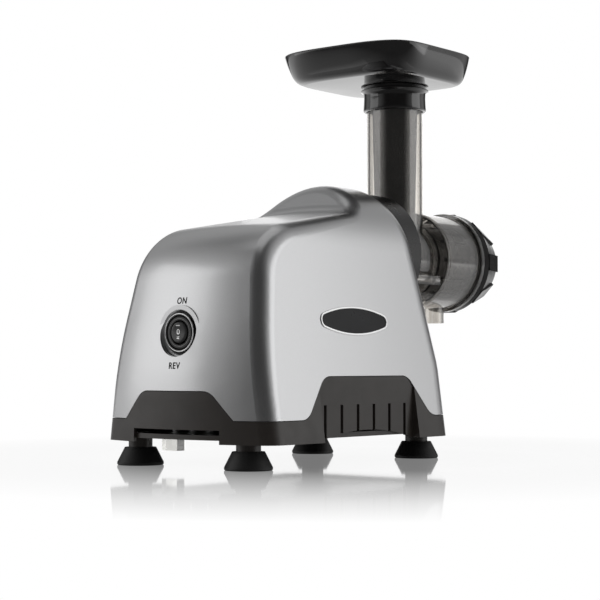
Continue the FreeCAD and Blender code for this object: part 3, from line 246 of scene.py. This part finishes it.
def wound_copper():
    """Enamelled copper wire laid side by side."""
    finish = Finish("winding_copper", {"Metallic": 0.7})
    band = finish.node("ShaderNodeTexWave", {"bands_direction": "DIAGONAL"},
                       {"Vector": finish.place(), "Scale": 420, "Distortion": 2.5, "Detail": 1}, "Fac")
    finish.drive("Base Color", finish.blend(band, (0.2, 0.06, 0.02, 1), (0.62, 0.25, 0.1, 1)))
    finish.drive("Roughness", finish.noise(scale=60) * 0.15 + 0.25)
    finish.drive("Normal", finish.bump(band, distance=0.3 * MM, strength=0.6))


def printed(name, colour):
    """Screen-printed ink: a faint mottle and a slightly dry gloss."""
    finish = Finish(name, {"Specular IOR Level": 0.15})
    mottle = finish.noise(scale=1500)
    finish.drive("Base Color", finish.blend(mottle, shade(colour, 0.85), shade(colour, 1.15)))
    finish.drive("Roughness", finish.noise(scale=400) * 0.2 + 0.45)
    finish.drive("Normal", finish.bump(mottle, distance=0.01 * MM, strength=0.3))


def make_finishes(look):
    """The finish of each material slot in the record, and those of the pieces added here."""
    lacquer = {"Coat Weight": 0.6, "Coat IOR": 1.7}
    thin_lacquer = {"Coat Weight": 0.3}
    half_metal, near_metal = {"Metallic": 0.6}, {"Metallic": 0.9}
    ink, cast = {"Metallic": 0.75}, {"Metallic": 0.85}
    dull = {"Specular IOR Level": 0.2}
    dullest = {"Specular IOR Level": 0.07}
    paint_silver(look)
    moulded("dark_base", look.base, rough=0.33, grain=1500, depth=0.03)
    moulded("foot_rubber", look.rubber, rough=0.55, grain=900, depth=0.1)
    turned_metal("screw_steel", (0.62, 0.62, 0.6), rough=0.3, axis="Z")
    see_through("clear_plastic", (0.98, 0.975, 0.94), rough=0.04, clear=0.96, stain=0.02, bend=1.49)
    moulded("black_plastic", look.black, rough=0.3, grain=1800, depth=0.03)
    stacked_sheets()
    wound_copper()
    moulded("cast_metal", (0.5, 0.5, 0.5), rough=0.5, grain=600, depth=0.2, swing=0.1, extra=cast)
    turned_metal("shaft_steel", (0.6, 0.6, 0.61), rough=0.25)
    moulded("gear_nylon", (0.72, 0.69, 0.6), rough=0.42, grain=700, depth=0.05)
    moulded("capacitor_shell", (0.55, 0.56, 0.56), rough=0.35, grain=900, depth=0.04)
    moulded("seal_rubber", (0.03, 0.03, 0.03), rough=0.5, grain=900, depth=0.05)
    see_through("smoky_clear", look.smoke, rough=0.03, clear=0.97, stain=0.05, bend=1.3)
    moulded("auger_black", (0.03, 0.028, 0.026), rough=0.28, grain=1200, depth=0.03)
    moulded("gloss_black", look.black, rough=0.1, grain=2400, depth=0.01, swing=0.1, extra=lacquer)
    moulded("nozzle_grey", (0.07, 0.07, 0.07), rough=0.38, grain=1200, depth=0.03)
    moulded("pusher_grey", (0.022, 0.021, 0.02), rough=0.12, grain=300, depth=0.003, extra=thin_lacquer)
    moulded("cap_black", look.black, rough=0.22, grain=2400, depth=0.01, swing=0.1, extra=dullest)
    moulded("badge_black", (0.014, 0.014, 0.016), rough=0.3, grain=2000, depth=0.01, extra=dull)
    moulded("badge_rim", (0.96, 0.96, 0.96), rough=0.32, grain=2000, depth=0.01, swing=0.03, extra=near_metal)
    # painted highlight: a mid grey, half metal finish, lighter than the black bezel, for the bead where the
    # bezel's inner edge catches light
    moulded("bezel_edge_highlight", (0.3, 0.3, 0.3), rough=0.3, grain=2000, depth=0.01, swing=0.1, extra=half_metal)
    moulded("rocker_face", (0.055, 0.055, 0.055), rough=0.3, grain=1800, depth=0.03)
    printed("mark_ink", (0.006, 0.006, 0.006))
    moulded("mark_white", (0.96, 0.96, 0.96), rough=0.34, grain=2000, depth=0.01, swing=0.04, extra=ink)


def dress(item, finish):
    """Gives an object one material, whatever it carried before."""
    item.data.materials.clear()
    item.data.materials.append(finish)


# Surfaces on grids

def lay_grid(name, points, body, finish, sharp=35):
    """Joins neighbouring points of a grid into faces; its columns run round and close on themselves."""
    merge_within = 0.0002 * MM
    rows, columns = points.shape[:2]
    index = np.arange(rows * columns).reshape(rows, columns)
    index = np.hstack([index, index[:, :1]])
    corners = [index[:-1, :-1], index[:-1, 1:], index[1:, 1:], index[1:, :-1]]
    faces = np.stack(corners, -1).reshape(-1, 4)
    mesh = bpy.data.meshes.new(name)
    mesh.from_pydata(points.reshape(-1, 3).tolist(), [], faces.tolist())
    shape = bmesh.new()
    shape.from_mesh(mesh)
    bmesh.ops.remove_doubles(shape, verts=shape.verts, dist=merge_within)
    bmesh.ops.recalc_face_normals(shape, faces=shape.faces)
    shape.to_mesh(mesh)
    shape.free()
    return show(name, mesh, body, finish, sharp)


def show(name, mesh, body, finish, sharp=35):
    """Puts a mesh in the scene with its finish, on the body that it moves with; steep edges stay sharp."""
    mesh.shade_smooth()
    mesh.set_sharp_from_angle(angle=math.radians(sharp))
    piece = bpy.data.objects.new(name, mesh)
    bpy.context.scene.collection.objects.link(piece)
    dress(piece, FINISHES[finish])
    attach(piece, body)
    return piece


def along_machine(distance):
    """Where along X a distance in front of the rear feet lies."""
    near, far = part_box("foot_rear_right")
    return (near.x + far.x) / 2 + distance


def middle_height(node):
    """The height of a node's middle."""
    near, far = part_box(node)
    return (near.z + far.z) / 2


def angles(count):
    """Angles evenly spaced round a full turn."""
    return np.linspace(0, FULL_TURN, count, endpoint=False)


def pointed_oval(length, height, tip, inset, count=160):
    """An oval whose point at each angle stands off its own centre by that centre's radius, less the inset.

    The upper and lower arcs have their centres on the short axis beyond the middle, and the two round tips
    have theirs on the long axis, so that the arcs run into the tips without a corner.
    """
    half, rise = length / 2 - tip, height / 2 - tip
    radius = (half ** 2 + rise ** 2) / (2 * rise)
    limit = math.asin(half / radius)
    quarter = np.concatenate([np.linspace(0, limit, count // 8, endpoint=False),
                              np.linspace(limit, QUARTER_TURN, count // 8, endpoint=False)])
    turn = np.concatenate([quarter, math.pi - quarter[::-1], math.pi + quarter, FULL_TURN - quarter[::-1]])
    right, up = np.sin(turn), np.cos(turn)
    on_arc = np.abs(right) <= math.sin(limit)
    ahead = np.where(on_arc, 0, np.sign(right) * half)
    above = np.where(on_arc, np.sign(up) * (rise - radius), 0)
    reach = np.where(on_arc, radius, 0) + tip - inset
    return ahead + reach * right, above + reach * up


def rounded_bar(length, width, count=32):
    """An upright bar with half-round ends: the end's centre plus cosine and sine times half the width."""
    across, up = np.cos(angles(count)), np.sin(angles(count))
    end = np.sign(up) * max(length - width, 0) / 2
    return width / 2 * across, end + width / 2 * up


def ring_round_x(name, x, height, radius, profile, body, finish):
    """A ring about an axis along X: every point of its profile goes round by cosine and sine.

    The profile runs along the axis and out from the radius, in millimetres.
    """
    turn = angles(128)
    along, out = np.array(profile).T * MM
    reach = radius * MM + out[:, None]
    across, above = reach * np.cos(turn), height + reach * np.sin(turn)
    points = np.stack([np.broadcast_to(x + along[:, None], across.shape), across, above], -1)
    return lay_grid(name, points, body, finish)


def ring_round_z(name, x, height, profile, body, finish, sharp):
    """A ring about an upright axis: every point of its profile goes round by cosine and sine.

    The profile runs out from the axis and up from the given height, in millimetres.
    """
    turn = angles(96)
    out, up = np.array(profile).T * MM
    ahead, across = x + out[:, None] * np.cos(turn), out[:, None] * np.sin(turn)
    points = np.stack([ahead, across, np.broadcast_to(height + up[:, None], across.shape)], -1)
    return lay_grid(name, points, body, finish, sharp)


def bead(thick, count=12):
    """The profile of a round bead: cosine and sine times half the thickness, ending where it began."""
    turn = np.linspace(0, FULL_TURN, count + 1)
    return np.stack([np.cos(turn), np.sin(turn)], -1) * thick / 2


# Settings

class JuicerSizes(PropertyGroup):
    """Sizes that a user would change."""

    badge_length: FloatProperty(name="Badge length", description="Length of the oval plate on the side",
                                default=0.0914, unit="LENGTH", subtype="DISTANCE")
    badge_height: FloatProperty(name="Badge height", description="Height of the oval plate on the side",
                                default=0.0245, unit="LENGTH", subtype="DISTANCE")
    letter_height: FloatProperty(name="Letter height", description="Height of the words beside the switch",
                                 default=0.0052, unit="LENGTH", subtype="DISTANCE")
    floor_reach: FloatProperty(name="Floor reach", description="How far the floor runs from the middle",
                               default=6.0, unit="LENGTH", subtype="DISTANCE")


class JuicerLook(PropertyGroup):
    """Colours that a user would change."""

    silver: FloatVectorProperty(name="Paint", description="Colour of the motor housing", subtype="COLOR",
                                default=(0.61, 0.612, 0.618), min=0, max=1)
    base: FloatVectorProperty(name="Base", description="Colour of the moulded skirt", subtype="COLOR",
                              default=(0.045, 0.038, 0.033), min=0, max=1)
    rubber: FloatVectorProperty(name="Feet", description="Colour of the rubber feet", subtype="COLOR",
                                default=(0.012, 0.012, 0.012), min=0, max=1)
    black: FloatVectorProperty(name="Black plastic", description="Colour of the tray and of the switch",
                               subtype="COLOR", default=(0.012, 0.011, 0.011), min=0, max=1)
    smoke: FloatVectorProperty(name="Smoky plastic", description="Colour of the see-through drum",
                               subtype="COLOR", default=(0.8, 0.775, 0.74), min=0, max=1)


class JuicerOperator(Operator):
    """What all the operators share."""

    bl_options = {"REGISTER", "UNDO"}


# Stage

SOFT_BOXES = [
    # name, place, aim, size, power
    ("rear_box", (-1.5, 1.7, 0.75), (0, 0, 0.2), (1.6, 1.5), 5.5),
    ("side_box", (1.25, -1.9, 0.7), (0, 0, 0.15), (1.6, 1.4), 6),
    ("top_box", (0.0, 0.1, 1.9), (0, 0, 0.2), (1.6, 1.2), 3),
    ("front_box", (2.2, 1.2, 1.1), (0, 0, 0.2), (1.4, 1.4), 4),
]
CAMERA_BACK = -994.37 * MM
CAMERA_SIDE = -914.94 * MM
CAMERA_HEIGHT = 83.3 * MM
CAMERA_HEADING = 0.67993
CAMERA_TILT = 0.03837
# the way that the camera looks, as shares of X and Y
VIEW_X, VIEW_Y = 0.78, 0.62


class JUICER_OT_stage(JuicerOperator):
    """Sets the white floor, the soft boxes, the room and the camera"""

    bl_idname = "juicer.stage"
    bl_label = "Studio"

    def execute(self, context):
        scene = context.scene
        scene.view_settings.view_transform = "Standard"
        lay_floor(scene.juicer_sizes.floor_reach)
        fill_room(scene)
        for soft_box in SOFT_BOXES:
            hang_soft_box(scene, *soft_box)
        set_camera(scene)
        return {"FINISHED"}


def hang_soft_box(scene, name, place, aim, size, power):
    """A rectangular lamp that looks at a point."""
    data = bpy.data.lights.new(name, "AREA")
    data.shape = "RECTANGLE"
    data.size, data.size_y = size
    data.energy = power
    lamp = bpy.data.objects.new(name, data)
    scene.collection.objects.link(lamp)
    lamp.location = place
    lamp.rotation_euler = (Vector(aim) - Vector(place)).to_track_quat("-Z", "Y").to_euler()


def set_camera(scene):
    """A camera low behind the right rear corner, its heading counted from X toward Y, tilted up a little."""
    data = bpy.data.cameras.new("view")
    data.lens = 100
    data.sensor_width = 36
    camera = bpy.data.objects.new("view", data)
    scene.collection.objects.link(camera)
    camera.location = (along_machine(CAMERA_BACK), CAMERA_SIDE, CAMERA_HEIGHT)
    camera.rotation_euler = (QUARTER_TURN + CAMERA_TILT, 0, CAMERA_HEADING - QUARTER_TURN)
    scene.camera = camera


def fill_room(scene):
    """White to the camera and through clear plastic, and shaped for gloss.

    Gloss sees bright walls at both sides, a narrow bright screen ahead, a grey ceiling and near darkness
    behind the camera.
    """
    world = bpy.data.worlds.new("room")
    world.use_nodes = True
    scene.world = world
    back = world.node_tree.nodes["Background"]
    room = Wiring(world.node_tree)
    x, y, height = room.axes("Generated")
    ahead = x * VIEW_X + y * VIEW_Y
    aside = room.node("ShaderNodeMath", {"operation": "ABSOLUTE"}, {0: x * VIEW_Y - y * VIEW_X})
    walls = room.between(aside, 0.3, 0.75) * room.between(ahead, -0.8, -0.35)
    walls = walls * room.between(ahead, 0.8, 0.5) * room.between(height, 0.4, 0.9, 0.5, 0.4)
    screen = room.between(ahead, 0.86, 0.97) * room.between(height, 0.1, 0.4, 0.95, 0.5)
    ceiling = room.between(height, 0.28, 0.5, 0, 0.36) * room.between(ahead, 0.1, 0.6)
    ceiling = ceiling * room.between(height, 0.98, 0.8)
    darkest = 0.04
    glow = walls.or_more(screen).or_more(ceiling) + darkest
    seen = room.ray_is("Camera") + room.ray_is("Transmission")
    gloss = room.ray_is("Glossy")
    level = room.between(seen, 0, 1, 0.22, 1.0) * (1 - gloss) + glow * gloss
    room.tree.links.new(level.socket, back.inputs["Strength"])
    back.inputs["Color"].default_value = WHITE


def lay_floor(reach):
    """A flat square, white and a little shiny, whose mirror image fades away from the juicer; in reflections
    it glows dimmer on the camera's side, a painted shade.
    """
    mesh = bpy.data.meshes.new("floor")
    corners = [(-reach, -reach, 0), (reach, -reach, 0), (reach, reach, 0), (-reach, reach, 0)]
    mesh.from_pydata(corners, [], [(0, 1, 2, 3)])
    floor = bpy.data.objects.new("floor", mesh)
    bpy.context.scene.collection.objects.link(floor)
    finish = Finish("white_floor", {"Base Color": (0.88, 0.88, 0.88, 1), "Roughness": 0.6,
                                    "Specular IOR Level": 0})
    x, y, _ = finish.axes()
    ahead = x * VIEW_X + y * VIEW_Y
    away = finish.node("ShaderNodeVectorMath", {"operation": "LENGTH"}, {0: finish.place()}, "Value")
    seen, gloss = finish.ray_is("Camera"), finish.ray_is("Glossy")
    # painted shade: seen in gloss, the floor's glow drops to a tenth on the camera's side and rises to full
    # beyond the juicer, as if the light fell from the back
    level = seen + gloss * finish.between(ahead, -0.5, 0.8, 0.1, 1.0)
    glow = finish.node("ShaderNodeEmission", None, {"Color": WHITE, "Strength": level})
    mirror = finish.node("ShaderNodeBsdfAnisotropic", None, {"Color": WHITE, "Roughness": 0.05})
    lift = gloss + seen * finish.between(away, 0.15, 0.5, 0.72, 1.0)
    lit = finish.mix_shaders(lift, Wire(finish, finish.shader.outputs[0]), glow)
    top = finish.mix_shaders(finish.between(away, 0.2, 0.62, 0.75, 0.0), lit, mirror)
    finish.tree.links.new(top.socket, finish.tree.nodes["Material Output"].inputs["Surface"])
    dress(floor, finish.material)


# Pieces

class JUICER_OT_finishes(JuicerOperator):
    """Makes the finishes and gives each solid its own"""

    bl_idname = "juicer.finishes"
    bl_label = "Finishes"

    def execute(self, context):
        make_finishes(context.scene.juicer_look)
        slots = {part["node"]: part["material_slot"] for part in frame["record"]["subparts"]}
        for name, solid in NODES.items():
            dress(solid, FINISHES[slots[name]])
        dress(NODES["drum_cap"], FINISHES["cap_black"])
        return {"FINISHED"}


SIDE_LEAN = math.radians(8)
HEAD_RADIUS = 69.7 * MM
HEAD_HEIGHT = 171.9 * MM
BADGE_AHEAD = 113.1 * MM
BADGE_HEIGHT = 119.1 * MM
BADGE_TIP = 6.6 * MM
# the rest of the oval plate is in millimetres, and its rim lists insets from the edge and lifts off the wall
RIM_WIDTH = 1.7
RIM_SUNK = -0.3
PLATE_LIFT = 0.6
PLATE_CROWN = 0.35
RIM_PROFILE = [(RIM_WIDTH, RIM_SUNK), (RIM_WIDTH, PLATE_LIFT), (1.45, 0.8), (0.35, 0.8), (0, 0.5),
               (0, RIM_SUNK), (RIM_WIDTH, RIM_SUNK)]


def side_wall(right, up, lift):
    """Points on the leaning side wall: along X, up its slope by cosine and sine of the lean, and off it."""
    along = np.array([1, 0, 0])
    slope = np.array([0, math.sin(SIDE_LEAN), math.cos(SIDE_LEAN)])
    out = np.array([0, -math.cos(SIDE_LEAN), math.sin(SIDE_LEAN)])
    reach = HEAD_RADIUS / math.cos(SIDE_LEAN) + (HEAD_HEIGHT - BADGE_HEIGHT) * math.tan(SIDE_LEAN)
    middle = np.array([along_machine(BADGE_AHEAD), -reach, BADGE_HEIGHT])
    return middle + right[..., None] * along + up[..., None] * slope + lift * out


class JUICER_OT_badge(JuicerOperator):
    """Lays the bare oval plate and its light rim on the right side"""

    bl_idname = "juicer.badge"
    bl_label = "Oval plate"

    def execute(self, context):
        sizes = context.scene.juicer_sizes
        length, height = sizes.badge_length, sizes.badge_height
        rim = [side_wall(*pointed_oval(length, height, BADGE_TIP, inset * MM), lift * MM)
               for inset, lift in RIM_PROFILE]
        lay_grid("badge_rim", np.array(rim), "machine", "badge_rim")
        right, up = pointed_oval(length, height, BADGE_TIP, RIM_WIDTH * MM)
        plate = [side_wall(right * share, up * share, (PLATE_LIFT - PLATE_CROWN * share ** 4) * MM)
                 for share in np.linspace(0, 1, 9)]
        lay_grid("badge_plate", np.array(plate), "machine", "badge_black")
        return {"FINISHED"}


ROCKER_RADIUS = 8.5 * MM
ROCKER_SWELL = 1.3 * MM
ROCKER_VALLEY = 1.1 * MM
MARK_LIFT = 0.05 * MM
# a level mark closes on a line that is this share of its length
MARK_SPINE = 0.8
OFF_LINE = 0.72 * MM
# along X and out from the radius, in millimetres
COLLAR_PROFILE = [(2.9, -1.6), (-0.1, -1.6), (-0.4, -1.3), (-0.4, -0.6), (0.2, 0), (2.9, 0), (2.9, -1.6)]


def rocker_face(right, up):
    """How far the rocker's face stands out: a swell, and more by the square of the height off its middle.

    It rolls off to nothing at the rim by a tenth power of the distance from the centre.
    """
    away = np.hypot(right, up) / ROCKER_RADIUS
    swell = ROCKER_SWELL + ROCKER_VALLEY * (up / ROCKER_RADIUS) ** 2
    return swell * np.clip(1 - away ** 10, 0, 1) ** 0.5


def on_rocker(right, up, lift):
    """Points on the rocker's face, seen from the rear: the viewer's right is -Y."""
    near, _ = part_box("rocker")
    return np.stack([near.x - rocker_face(right, up) - lift, -right, middle_height("rocker") + up], -1)


def level_bar(length, width):
    """The outline of a level bar, and the line in its middle that it closes on."""
    across, along = rounded_bar(length, width)
    return (along, across), (along * MARK_SPINE, across * 0)


def upright_ring(length, width):
    """The outline of an upright bar, and that of the opening in it."""
    return rounded_bar(length, width), rounded_bar(length - 2 * OFF_LINE, width - 2 * OFF_LINE)


# name, shape, length, width and height above the rocker's middle, in millimetres
MARKS = [("mark_forward", level_bar, 4.4, 0.9, 5.6), ("mark_off", upright_ring, 4.3, 3.1, 0.6),
         ("mark_back_upper", level_bar, 2.8, 0.55, -3.6), ("mark_back_lower", level_bar, 2.8, 0.55, -4.8)]


def lay_mark(name, outer, inner, up):
    """A flat mark between two outlines on the rocker, each given as distances to the right and up."""
    right, rise = np.stack([outer, inner], 1)
    lay_grid(name, on_rocker(right, rise + up, MARK_LIFT), "switch_rocker", "mark_white")


# name, distance along X from the bezel's rear face, radius, profile and finish, in millimetres
SWITCH_RINGS = [("switch_collar", 0, 15.4, COLLAR_PROFILE, "black_plastic"),
                # partly painted highlight: a real lip at the dish's edge, made in a near-white metal brighter
                # than the housing's silver so that it shows as a light line
                ("switch_ring", -0.15, 15.1, bead(1.0), "badge_rim"),
                # painted highlight: the inner bead is grey, lighter than the black bezel, in place of light on
                # the bezel's inner edge
                ("switch_ring_inner", 0.05, 11.2, bead(0.6), "bezel_edge_highlight")]


class JUICER_OT_switch(JuicerOperator):
    """Finishes the rocker switch: its dished face, the marks on it and the bright ring; both rings are lighter
    than their parts, as painted highlights
    """

    bl_idname = "juicer.switch"
    bl_label = "Switch"

    def execute(self, context):
        self.lay_face()
        for name, shape, length, width, up in MARKS:
            outer, inner = shape(length * MM, width * MM)
            lay_mark(name, outer, inner, up * MM)
        near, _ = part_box("switch_bezel")
        height = middle_height("switch_bezel")
        for name, along, radius, profile, finish in SWITCH_RINGS:
            ring_round_x(name, near.x + along * MM, height, radius, profile, "machine", finish)
        return {"FINISHED"}

    def lay_face(self):
        """Circles on the rocker's face, whose radius grows as the sine of the share of a quarter turn."""
        turn = angles(96)
        radius = np.sin(np.linspace(0, QUARTER_TURN, 24))[:, None] * ROCKER_RADIUS
        points = on_rocker(radius * np.cos(turn), radius * np.sin(turn), -MARK_LIFT)
        lay_grid("rocker_face", points, "switch_rocker", "rocker_face")


CAPITAL_SHARE = 0.72
LETTER_SPACING = 1.14
LETTER_BOLD = 0.03
LETTER_WIDTH = 0.9
INK_LIFT = 0.12 * MM
WORDS_BEHIND = -60 * MM
ON_HEIGHT = 133.9 * MM
REVERSE_HEIGHT = 81.7 * MM


def print_word(name, word, height, middle):
    """Flat letters that start behind the housing, face the rear and are pressed onto its curve."""
    curve = bpy.data.curves.new(name, "FONT")
    curve.body = word
    curve.align_x = "CENTER"
    curve.align_y = "CENTER"
    curve.size = height / CAPITAL_SHARE
    curve.space_character = LETTER_SPACING
    curve.offset = height * LETTER_BOLD
    letters = bpy.data.objects.new(name + "_outline", curve)
    mesh = bpy.data.meshes.new_from_object(letters)
    bpy.data.objects.remove(letters)
    points = np.empty(len(mesh.vertices) * 3)
    mesh.vertices.foreach_get("co", points)
    across, up, _ = points.reshape(-1, 3).T
    behind = np.full_like(across, along_machine(WORDS_BEHIND))
    placed = np.stack([behind, -across * LETTER_WIDTH, middle + up], -1)
    mesh.vertices.foreach_set("co", placed.ravel())
    piece = show(name, mesh, "machine", "mark_ink")
    press = piece.modifiers.new("press", "SHRINKWRAP")
    press.target = NODES["housing_shell"]
    press.wrap_method = "PROJECT"
    press.use_project_x = True
    press.use_project_y = False
    press.use_project_z = False
    press.use_positive_direction = True
    press.use_negative_direction = False
    press.offset = INK_LIFT


class JUICER_OT_words(JuicerOperator):
    """Prints ON and REV above and below the switch"""

    bl_idname = "juicer.words"
    bl_label = "Switch words"

    def execute(self, context):
        height = context.scene.juicer_sizes.letter_height
        print_word("word_on", "ON", height, ON_HEIGHT)
        print_word("word_reverse", "REV", height, REVERSE_HEIGHT)
        return {"FINISHED"}


CHUTE_AHEAD = 279.5 * MM
TRAY_DEPTH = 27 * MM
TRAY_WALL = 2.8 * MM
TRAY_ROUND = 1.6 * MM
TRAY_DRAW_REAR = 17 * MM
TRAY_DRAW_FRONT = 6.5 * MM
TRAY_DRAW_SIDE = 12 * MM
REAR_POWER = 3.7
FRONT_POWER = 6.5
TRAY_SHARP = 50
# in millimetres: the hole's radius, then the collar's profile out from the chute's axis and up from the floor
TRAY_HOLE = 26.9
TRAY_COLLAR = [(TRAY_HOLE, -22), (28.6, -22), (29.3, -21.6), (29.6, -20.8), (29.5, -18), (29.1, -10),
               (29.2, -5.2), (30.4, -3.6), (31.8, -3.1), (32, -2.6), (31.8, -2.0), (30.2, -1.7), (29.5, -1.2),
               (29.5, 0.4), (TRAY_HOLE, 0.4), (TRAY_HOLE, -22)]


def tray_row(centre, half_length, half_width, height, rear_power=REAR_POWER, front_power=FRONT_POWER):
    """One level of the tray: a superellipse whose power grows from the rear to the front with the cosine.

    So the rear corners are slack and the front ones tight.
    """
    turn = angles(192)
    ahead, across = np.cos(turn), np.sin(turn)
    power = 2 / (rear_power + (front_power - rear_power) * (1 + ahead) / 2)
    x = centre + half_length * np.sign(ahead) * np.abs(ahead) ** power
    y = half_width * np.sign(across) * np.abs(across) ** power
    return np.stack([x, y, np.full_like(turn, height)], -1)


def round_hole(centre, height):
    """The edge of the hole above the chute: a superellipse of the second power, which is a circle."""
    return tray_row(centre, TRAY_HOLE * MM, TRAY_HOLE * MM, height, 2, 2)


def tray_level(near, far, share, inset, height):
    """The tray's outline at a share of its depth, drawn in from the solid's box between near and far.

    The draw is a slow power of the share left to the rim, plus a quick exponential fall near the floor.
    """
    draw = 0.62 * (1 - share) ** 1.35 + 0.38 * math.exp(-share / 0.08)
    low = near.x + TRAY_DRAW_REAR * draw + inset
    high = far.x - TRAY_DRAW_FRONT * draw - inset
    half_width = far.y - TRAY_DRAW_SIDE * draw - inset
    return tray_row((low + high) / 2, (high - low) / 2, half_width, height)


def tray_profile():
    """The share, inset and height of each level, from the floor's edge round the outside to its upper side.

    The lower edges and the rim go round by sine and cosine, and the walls rise in even steps.
    """
    walls = np.linspace(TRAY_ROUND / TRAY_DEPTH, 1, 22)
    inside = TRAY_DEPTH - TRAY_WALL
    half_wall = TRAY_WALL / 2
    for turn in np.linspace(QUARTER_TURN, 0, 7):
        rise = TRAY_ROUND * (1 - math.sin(turn))
        yield rise / TRAY_DEPTH, TRAY_ROUND * (1 - math.cos(turn)), rise
    for share in walls[1:-1]:
        yield share, 0, TRAY_DEPTH * share
    for turn in np.linspace(0, math.pi, 7):
        yield 1, half_wall * (1 - math.cos(turn)), TRAY_DEPTH - half_wall + half_wall * math.sin(turn)
    for share in walls[-2::-1]:
        yield share, TRAY_WALL, TRAY_WALL + inside * share
    for turn in np.linspace(0, QUARTER_TURN, 7)[1:]:
        rise = TRAY_ROUND * (1 - math.sin(turn))
        share, inset = rise / TRAY_DEPTH, TRAY_ROUND * (1 - math.cos(turn))
        yield share, TRAY_WALL + inset, TRAY_WALL + inside * share


class JUICER_OT_tray(JuicerOperator):
    """Moulds the feeding tray with its rounded floor, and the collar that sits on the chute"""

    bl_idname = "juicer.tray"
    bl_label = "Tray"

    def execute(self, context):
        near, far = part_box("hopper_tray")
        chute = along_machine(CHUTE_AHEAD)
        floor = far.z - TRAY_DEPTH
        lower_hole, upper_hole = round_hole(chute, floor), round_hole(chute, floor + TRAY_WALL)
        levels = [tray_level(near, far, share, inset, floor + rise) for share, inset, rise in tray_profile()]
        rows = np.array([lower_hole, *levels, upper_hole, lower_hole])
        dish = lay_grid("tray_dish", rows, "tray", "gloss_black", TRAY_SHARP)
        collar = ring_round_z("tray_collar", chute, floor, TRAY_COLLAR, "tray", "gloss_black", TRAY_SHARP)
        for piece in (dish, collar):
            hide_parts("hopper_tray")
        return {"FINISHED"}


# name, distance in front of the rear feet, radius and thickness, in millimetres
DRUM_RINGS = [("drum_ridge_rear", 302.6, 44.9, 1.5), ("drum_ridge_front", 306.4, 44.9, 1.2),
              ("drum_lip_ring", 355.6, 47.4, 1.0)]


class JUICER_OT_drum_rings(JuicerOperator):
    """Adds the ridges round the drum's shoulder and the thin ring in front of its cap"""

    bl_idname = "juicer.drum_rings"
    bl_label = "Drum ridges"

    def execute(self, context):
        height = middle_height("drum_cap")
        for name, ahead, radius, thick in DRUM_RINGS:
            x = along_machine(ahead * MM)
            ring_round_x(name, x, height, radius, bead(thick), "juicing_drum", "smoky_clear")
        return {"FINISHED"}


class JUICER_PT_sidebar(Panel):
    """Lists the juicer's pieces"""

    bl_idname = "JUICER_PT_sidebar"
    bl_label = "Juicer"
    bl_space_type = "VIEW_3D"
    bl_region_type = "UI"
    bl_category = "Juicer"

    def draw(self, context):
        for step in STEPS:
            self.layout.operator(step.bl_idname)
        for group in (context.scene.juicer_sizes, context.scene.juicer_look):
            for name in group.bl_rna.properties.keys():
                if name not in ("rna_type", "name"):
                    self.layout.prop(group, name)


STEPS = [JUICER_OT_finishes, JUICER_OT_badge, JUICER_OT_switch, JUICER_OT_words, JUICER_OT_tray,
         JUICER_OT_drum_rings, JUICER_OT_stage]
CLASSES = [JuicerSizes, JuicerLook, *STEPS, JUICER_PT_sidebar]


def register():
    for kind in CLASSES:
        bpy.utils.register_class(kind)
    bpy.types.Scene.juicer_sizes = PointerProperty(type=JuicerSizes)
    bpy.types.Scene.juicer_look = PointerProperty(type=JuicerLook)


def unregister():
    del bpy.types.Scene.juicer_sizes
    del bpy.types.Scene.juicer_look
    for kind in reversed(CLASSES):
        bpy.utils.unregister_class(kind)


def main():
    register()
    for step in STEPS:
        group, name = step.bl_idname.split(".")
        getattr(getattr(bpy.ops, group), name)()


if __name__ == "__main__":
    main()
